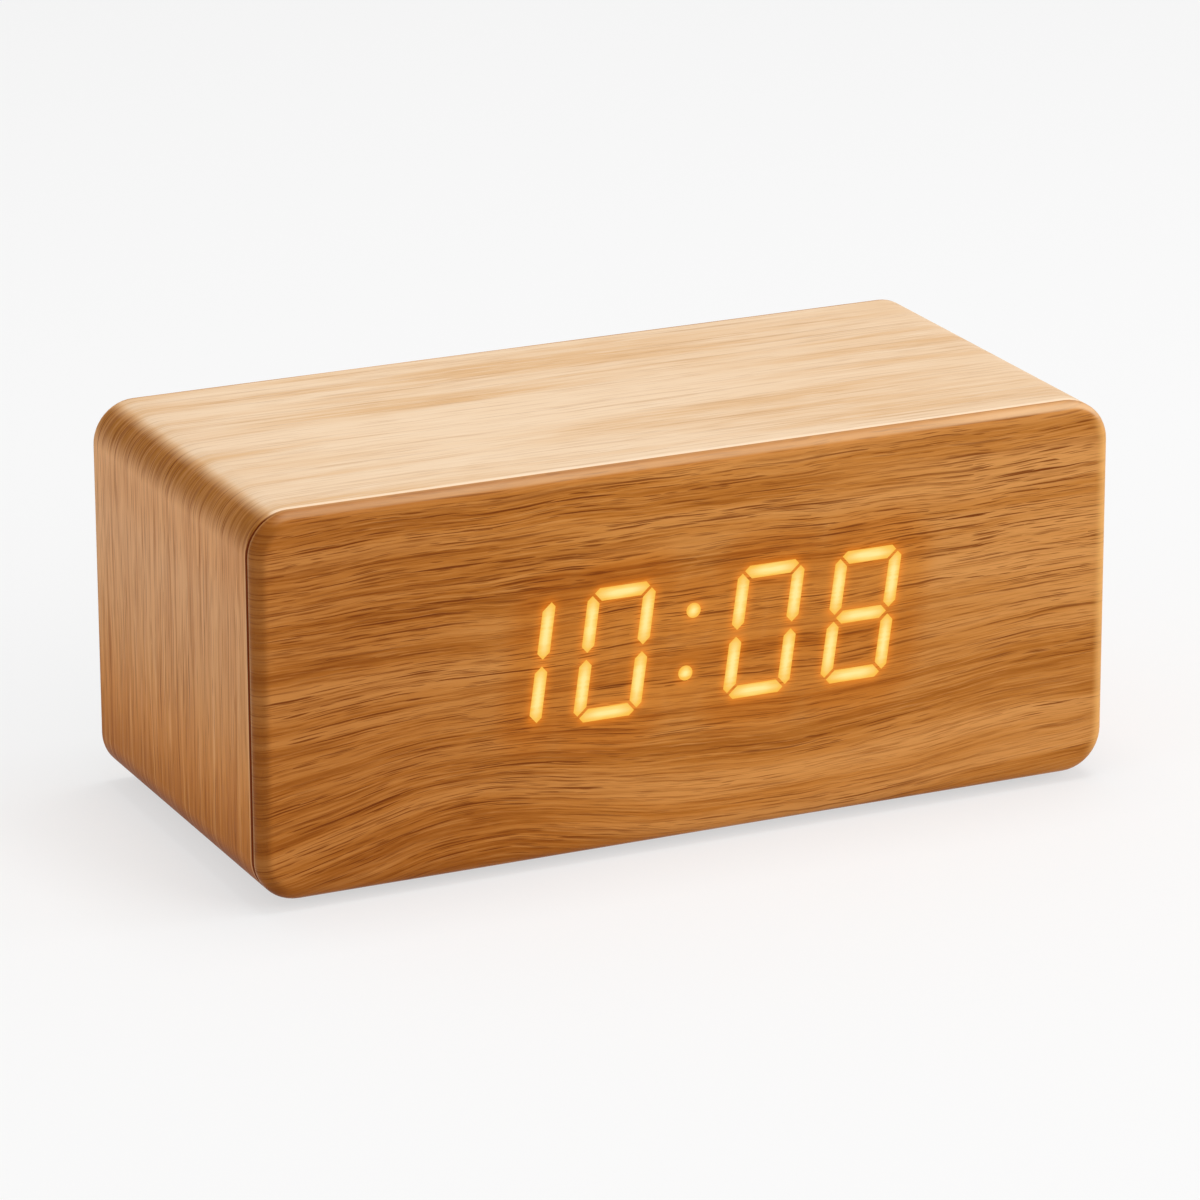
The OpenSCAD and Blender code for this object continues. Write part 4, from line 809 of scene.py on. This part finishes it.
def make_piece(name, points, faces, look, body):
    """A mesh from points in millimetres."""
    mesh = bpy.data.meshes.new(name)
    mesh.from_pydata([tuple(Vector(p) * MM) for p in points], [], faces)
    made = bmesh.new()
    made.from_mesh(mesh)
    bmesh.ops.recalc_face_normals(made, faces=made.faces)
    made.to_mesh(mesh)
    made.free()
    for polygon in mesh.polygons:
        polygon.use_smooth = len(polygon.vertices) == 4
    mesh.materials.append(LOOKS[look])
    piece = bpy.data.objects.new(name, mesh)
    bpy.context.scene.collection.objects.link(piece)
    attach(piece, body)
    return piece


def swept(path, ring, side):
    """Points and faces of a ring carried along a path. Its first axis points about along side."""
    path = [Vector(p) for p in path]
    last = len(path) - 1
    points, faces, across = [], [], Vector(side)
    for index, at in enumerate(path):
        along = (path[min(index + 1, last)] - path[max(index - 1, 0)]).normalized()
        across = (across - across.dot(along) * along).normalized()
        other = along.cross(across)
        points.extend(at + a * across + b * other for a, b in ring)
    count = len(ring)
    for index in range(last):
        for k in range(count):
            a, b = index * count + k, index * count + (k + 1) % count
            faces.append((a, b, b + count, a + count))
    faces.append(tuple(range(count - 1, -1, -1)))
    faces.append(tuple(last * count + k for k in range(count)))
    return points, faces


def circle(radius, count):
    return [
        (radius * math.cos(math.tau * k / count), radius * math.sin(math.tau * k / count))
        for k in range(count)
    ]


def rounded_route(corners, bend, steps):
    """A route whose corners are arcs of so large a radius."""
    corners = [Vector(c) for c in corners]
    route = [corners[0]]
    for before, at, after in zip(corners, corners[1:], corners[2:]):
        a, c = (before - at).normalized(), (after - at).normalized()
        start, centre = at + bend * a, at + bend * (a + c)
        for step in range(steps + 1):
            angle = math.pi / 2 * step / steps
            route.append(centre - bend * math.cos(angle) * c - bend * math.sin(angle) * a)
        assert (route[-steps - 1] - start).length < 1e-6
    route.append(corners[-1])
    return route


SPRING_WIRE_R = 0.25
SPRING_TURNS = 3
SPRING_RINGS = 28
SPRING_TIP = 2.2 / 3.4  # of the wide end's radius


def contact_spring(index):
    """A coned coil of wire, with its wide end on the contact plate."""
    node = f"contact_spring_{index}"
    low, high = box_mm(node)
    mid = (low + high) / 2
    wide_r = (high.z - low.z) / 2 - SPRING_WIRE_R
    tip_r = wide_r * SPRING_TIP
    outward = -1 if index == 2 else 1
    base_x = low.x if outward > 0 else high.x
    length = high.x - low.x - 2 * SPRING_WIRE_R
    steps = SPRING_TURNS * SPRING_RINGS
    path = []
    for k in range(steps + 1):
        share = k / steps
        angle = math.tau * k / SPRING_RINGS
        radius = wide_r + share * (tip_r - wide_r)
        x = base_x + outward * (SPRING_WIRE_R + share * length)
        path.append((x, mid.y + radius * math.cos(angle), mid.z + radius * math.sin(angle)))
    points, faces = swept(path, circle(SPRING_WIRE_R, 12), (0, 1, 0))
    piece = make_piece(f"spring_coil_{index}", points, faces, "spring_wire", "clock")
    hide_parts(node)


WIRE_R = 0.6
WIRE_BEND = 1.8
TAB_JOINT, BOARD_JOINT = (0.95, 1.3), (1.15, 1.1)  # radius and height of the solder


def solder_joint(name, at, along, radius, height):
    """A concave cone of solder round a wire's end."""
    at, along = Vector(at), Vector(along)
    side = Vector((0, 0, 1))
    other = along.cross(side)
    rings, count = 6, 24
    points, faces = [], []
    for ring in range(rings + 1):
        share = ring / rings
        ring_r = WIRE_R + (radius - WIRE_R) * (1 - share) ** 2.4
        for a, b in circle(ring_r, count):
            points.append(at + share * height * along + a * side + b * other)
    for ring in range(rings):
        for k in range(count):
            a, b = ring * count + k, ring * count + (k + 1) % count
            faces.append((a, b, b + count, a + count))
    faces.append(tuple(range(count - 1, -1, -1)))
    faces.append(tuple(rings * count + k for k in range(count)))
    make_piece(name, points, faces, "solder", "clock")


def battery_lead(colour):
    """An insulated wire from a contact's tab to the switch board, soldered at both ends."""
    node = f"battery_lead_{colour}"
    low, high = box_mm(node)
    z = (low.z + high.z) / 2
    y = low.y + WIRE_R
    turn_x = high.x - WIRE_R
    corners = [(low.x, y, z), (turn_x, y, z), (turn_x, high.y, z)]
    path = rounded_route(corners, WIRE_BEND, 12)
    points, faces = swept(path, circle(WIRE_R, 16), (0, 0, 1))
    piece = make_piece(f"lead_{colour}", points, faces, f"wire_{colour}", "clock")
    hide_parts(node)
    solder_joint(f"tab_joint_{colour}", (low.x, y, z), (1, 0, 0), *TAB_JOINT)
    solder_joint(f"board_joint_{colour}", (turn_x, high.y, z), (0, -1, 0), *BOARD_JOINT)


def ribbon():
    """A flat cable of round wires side by side, bent down between its two sockets."""
    low, high = box_mm("ribbon_cable")
    wire_count, arc_steps, bend, bend_steps, half_t = 9, 6, 3.0, 14, 0.45
    front_z, rear_z, mid_y = high.z - half_t, low.z + half_t, (low.y + high.y) / 2
    mid_x, pitch = (low.x + high.x) / 2, (high.x - low.x) / wire_count
    corners = [(mid_x, low.y, front_z), (mid_x, mid_y, front_z), (mid_x, mid_y, rear_z)]
    corners.append((mid_x, high.y, rear_z))
    path = rounded_route(corners, bend, bend_steps)
    upper = []
    for wire in range(wire_count):
        centre = (wire - (wire_count - 1) / 2) * pitch
        for step in range(arc_steps + 1):
            if wire and not step:
                continue
            angle = math.pi * (0.06 + 0.88 * step / arc_steps)
            upper.append((centre - pitch / 2 * math.cos(angle), half_t * math.sin(angle)))
    ring = upper + [(a, -b) for a, b in reversed(upper)]
    points, faces = swept(path, ring, (1, 0, 0))
    piece = make_piece("ribbon_wires", points, faces, "ribbon", "clock")
    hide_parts("ribbon_cable")


SIGN_RISE = 0.16
SIGN_SINK = 0.05
SIGN_BEVEL = 0.05
SIGN_OVER = 5.6  # height over the middle of its button
DOOR_SIGN_RISE = 11.0


def sign(name, at, outline, body):
    """A thin raised sign on the back. The outline is (right, up) as seen from behind the clock."""
    made = bmesh.new()
    corners = [
        made.verts.new((Vector((at[0] - u, at[1] - SIGN_SINK, at[2] + v)) * MM)) for u, v in outline
    ]
    base = made.faces.new(corners)
    raised = bmesh.ops.extrude_face_region(made, geom=[base])["geom"]
    tops = [item for item in raised if isinstance(item, bmesh.types.BMVert)]
    bmesh.ops.translate(made, vec=(0, (SIGN_RISE + SIGN_SINK) * MM, 0), verts=tops)
    top_edges = [e for e in made.edges if all(v in tops for v in e.verts)]
    bmesh.ops.bevel(made, geom=top_edges, offset=SIGN_BEVEL * MM, segments=2, affect="EDGES")
    bmesh.ops.recalc_face_normals(made, faces=made.faces)
    mesh = bpy.data.meshes.new(name)
    made.to_mesh(mesh)
    made.free()
    mesh.materials.append(LOOKS["sign_paint"])
    piece = bpy.data.objects.new(name, mesh)
    bpy.context.scene.collection.objects.link(piece)
    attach(piece, body)


def arc(radius, thickness, start_deg, end_deg, centre=(0.0, 0.0), steps=14):
    """Outline of a stretch of a ring."""
    angles = [math.radians(start_deg + (end_deg - start_deg) * k / steps) for k in range(steps + 1)]
    rims = [(radius + thickness / 2, angles), (radius - thickness / 2, angles[::-1])]
    return [
        (centre[0] + r * math.cos(a), centre[1] + r * math.sin(a)) for r, row in rims for a in row
    ]


def triangle(size, direction):
    base, tip = -0.6 * size * direction, size * direction
    return [(-size, base), (size, base), (0, tip)]


def signs():
    """Signs over the buttons and the slider, and an arrow on the battery door."""
    for key in ("set", "up", "down"):
        mid = middle(f"{key}_button")
        at = (mid.x, BACK_HIGH.y, mid.z + SIGN_OVER)
        if key == "set":
            for half, start in enumerate((20, 200)):
                sign(f"set_sign_{half + 1}", at, arc(0.95, 0.36, start, start + 140), "clock")
        else:
            sign(f"{key}_sign", at, triangle(1.15, 1 if key == "up" else -1), "clock")
    knob = middle("sound_slider")
    at = (knob.x - 1.0, BACK_HIGH.y, knob.z + SIGN_OVER)
    horn = [(-1.5, -0.4), (-0.9, -0.4), (-0.15, -1.05), (-0.15, 1.05), (-0.9, 0.4), (-1.5, 0.4)]
    sign("sound_sign_horn", at, horn, "clock")
    for index, radius in enumerate((0.75, 1.4)):
        outline = arc(radius, 0.26, -42, 42, (-0.1, 0.0))
        sign(f"sound_sign_wave_{index + 1}", at, outline, "clock")
    low, high = box_mm("battery_door")
    at = ((low.x + high.x) / 2, BACK_HIGH.y, low.z + DOOR_SIGN_RISE)
    sign("door_sign", at, triangle(1.5, -1), "door")


for spring in (1, 2, 3):
    contact_spring(spring)
for lead_colour in ("red", "black"):
    battery_lead(lead_colour)
ribbon()
signs()


# Stage, light and camera

FLOOR_HALF = 3.0
FLOOR_PAPER = (0.86, 0.86, 0.86, 1)
FLOOR_WHITE_SHARE = 0.6
WORLD_LIGHT = 0.55


def light_path_share(tree, *rays):
    """1 for the named kinds of ray and 0 for the others."""
    path = tree.nodes.new("ShaderNodeLightPath")
    share = path.outputs[rays[0]]
    for ray in rays[1:]:
        either = tree.nodes.new("ShaderNodeMath")
        either.operation = "MAXIMUM"
        tree.links.new(share, either.inputs[0])
        tree.links.new(path.outputs[ray], either.inputs[1])
        share = either.outputs[0]
    return share


def make_floor():
    """A pale floor that shows nearly white to the camera and keeps the clock's shadow."""
    half = FLOOR_HALF
    mesh = bpy.data.meshes.new("floor")
    corners = [(-half, -half, 0), (half, -half, 0), (half, half, 0), (-half, half, 0)]
    mesh.from_pydata(corners, [], [(0, 1, 2, 3)])
    floor = bpy.data.objects.new("floor", mesh)
    bpy.context.scene.collection.objects.link(floor)
    material = bpy.data.materials.new("floor")
    material.use_nodes = True
    tree = material.node_tree
    tree.nodes.clear()
    out = tree.nodes.new("ShaderNodeOutputMaterial")
    paper = tree.nodes.new("ShaderNodeBsdfDiffuse")
    paper.inputs["Color"].default_value = FLOOR_PAPER
    white = tree.nodes.new("ShaderNodeEmission")
    share = tree.nodes.new("ShaderNodeMath")
    share.operation = "MULTIPLY"
    share.inputs[1].default_value = FLOOR_WHITE_SHARE
    seen = light_path_share(tree, "Is Camera Ray", "Is Glossy Ray", "Is Transmission Ray")
    tree.links.new(seen, share.inputs[0])
    mix = tree.nodes.new("ShaderNodeMixShader")
    tree.links.new(share.outputs[0], mix.inputs[0])
    tree.links.new(paper.outputs[0], mix.inputs[1])
    tree.links.new(white.outputs[0], mix.inputs[2])
    tree.links.new(mix.outputs[0], out.inputs[0])
    mesh.materials.append(material)


def make_world():
    world = bpy.data.worlds.new("world")
    world.use_nodes = True
    bpy.context.scene.world = world
    tree = world.node_tree
    background = next(n for n in tree.nodes if n.type == "BACKGROUND")
    strength = tree.nodes.new("ShaderNodeMapRange")
    seen = light_path_share(tree, "Is Camera Ray", "Is Transmission Ray")
    tree.links.new(seen, strength.inputs[0])
    strength.inputs[3].default_value = WORLD_LIGHT
    strength.inputs[4].default_value = 1.0
    tree.links.new(strength.outputs[0], background.inputs["Strength"])
    background.inputs["Color"].default_value = (1, 1, 1, 1)


def make_lamp(name, place, size, power):
    lamp = bpy.data.lights.new(name, "AREA")
    lamp.shape = "RECTANGLE"
    lamp.size, lamp.size_y = size
    lamp.energy = power
    obj = bpy.data.objects.new(name, lamp)
    bpy.context.scene.collection.objects.link(obj)
    obj.location = place
    obj.rotation_mode = "QUATERNION"
    obj.rotation_quaternion = (LAMP_TARGET - Vector(place)).to_track_quat("-Z", "Y")


# Places and sizes in metres, powers in watts
LAMP_TARGET = Vector((0, 0, 0.03))
LAMPS = (
    ("top_light", (0.15, 0.0, 1.3), (0.7, 0.7), 6.3),
    ("front_light", (0.8, -1.25, 0.75), (0.9, 0.8), 6.2),
    ("left_light", (-1.25, -0.3, 0.5), (0.5, 0.5), 1.1),
    ("right_light", (1.4, -0.35, 0.45), (0.5, 0.5), 3.0),
)

FOCAL_PIXELS = 6438
FRAME_PIXELS = 1200
SENSOR_MM = 36.0
AZIMUTH, ELEVATION, ROLL = (math.radians(angle) for angle in (-24.86, 18.40, -0.20))
# In widths of the block: height of the point aimed at, and the camera's place from it
AIM_RISE = 0.22
TO_RIGHT, TO_TOP, TO_BACK = -0.0029, -0.0218, 7.017


def make_camera():
    """The photograph's camera, as fitted to the block's outline."""
    unit = (CASE_HIGH.x - CASE_LOW.x) * MM
    centre = Vector((0, 0, CASE_LOW.z * MM + AIM_RISE * unit))
    level = math.cos(ELEVATION)
    back = Vector((math.sin(AZIMUTH) * level, -math.cos(AZIMUTH) * level, math.sin(ELEVATION)))
    right = Vector((math.cos(AZIMUTH), math.sin(AZIMUTH), 0))
    up = back.cross(right)
    place = centre + unit * (TO_RIGHT * right + TO_TOP * up + TO_BACK * back)
    turned_right = math.cos(ROLL) * right + math.sin(ROLL) * up
    turned_up = math.cos(ROLL) * up - math.sin(ROLL) * right
    camera = bpy.data.objects.new("camera", bpy.data.cameras.new("camera"))
    bpy.context.scene.collection.objects.link(camera)
    matrix = camera.matrix_world.copy()
    for column, axis in enumerate((turned_right, turned_up, back, place)):
        for row in range(3):
            matrix[row][column] = axis[row]
    camera.matrix_world = matrix
    camera.data.sensor_width = SENSOR_MM
    camera.data.lens = SENSOR_MM * FOCAL_PIXELS / FRAME_PIXELS
    camera.data.clip_start, camera.data.clip_end = 0.05, 20.0
    bpy.context.scene.camera = camera


make_floor()
make_world()
for lamp_row in LAMPS:
    make_lamp(*lamp_row)
make_camera()
bpy.context.scene.view_settings.view_transform = "Standard"
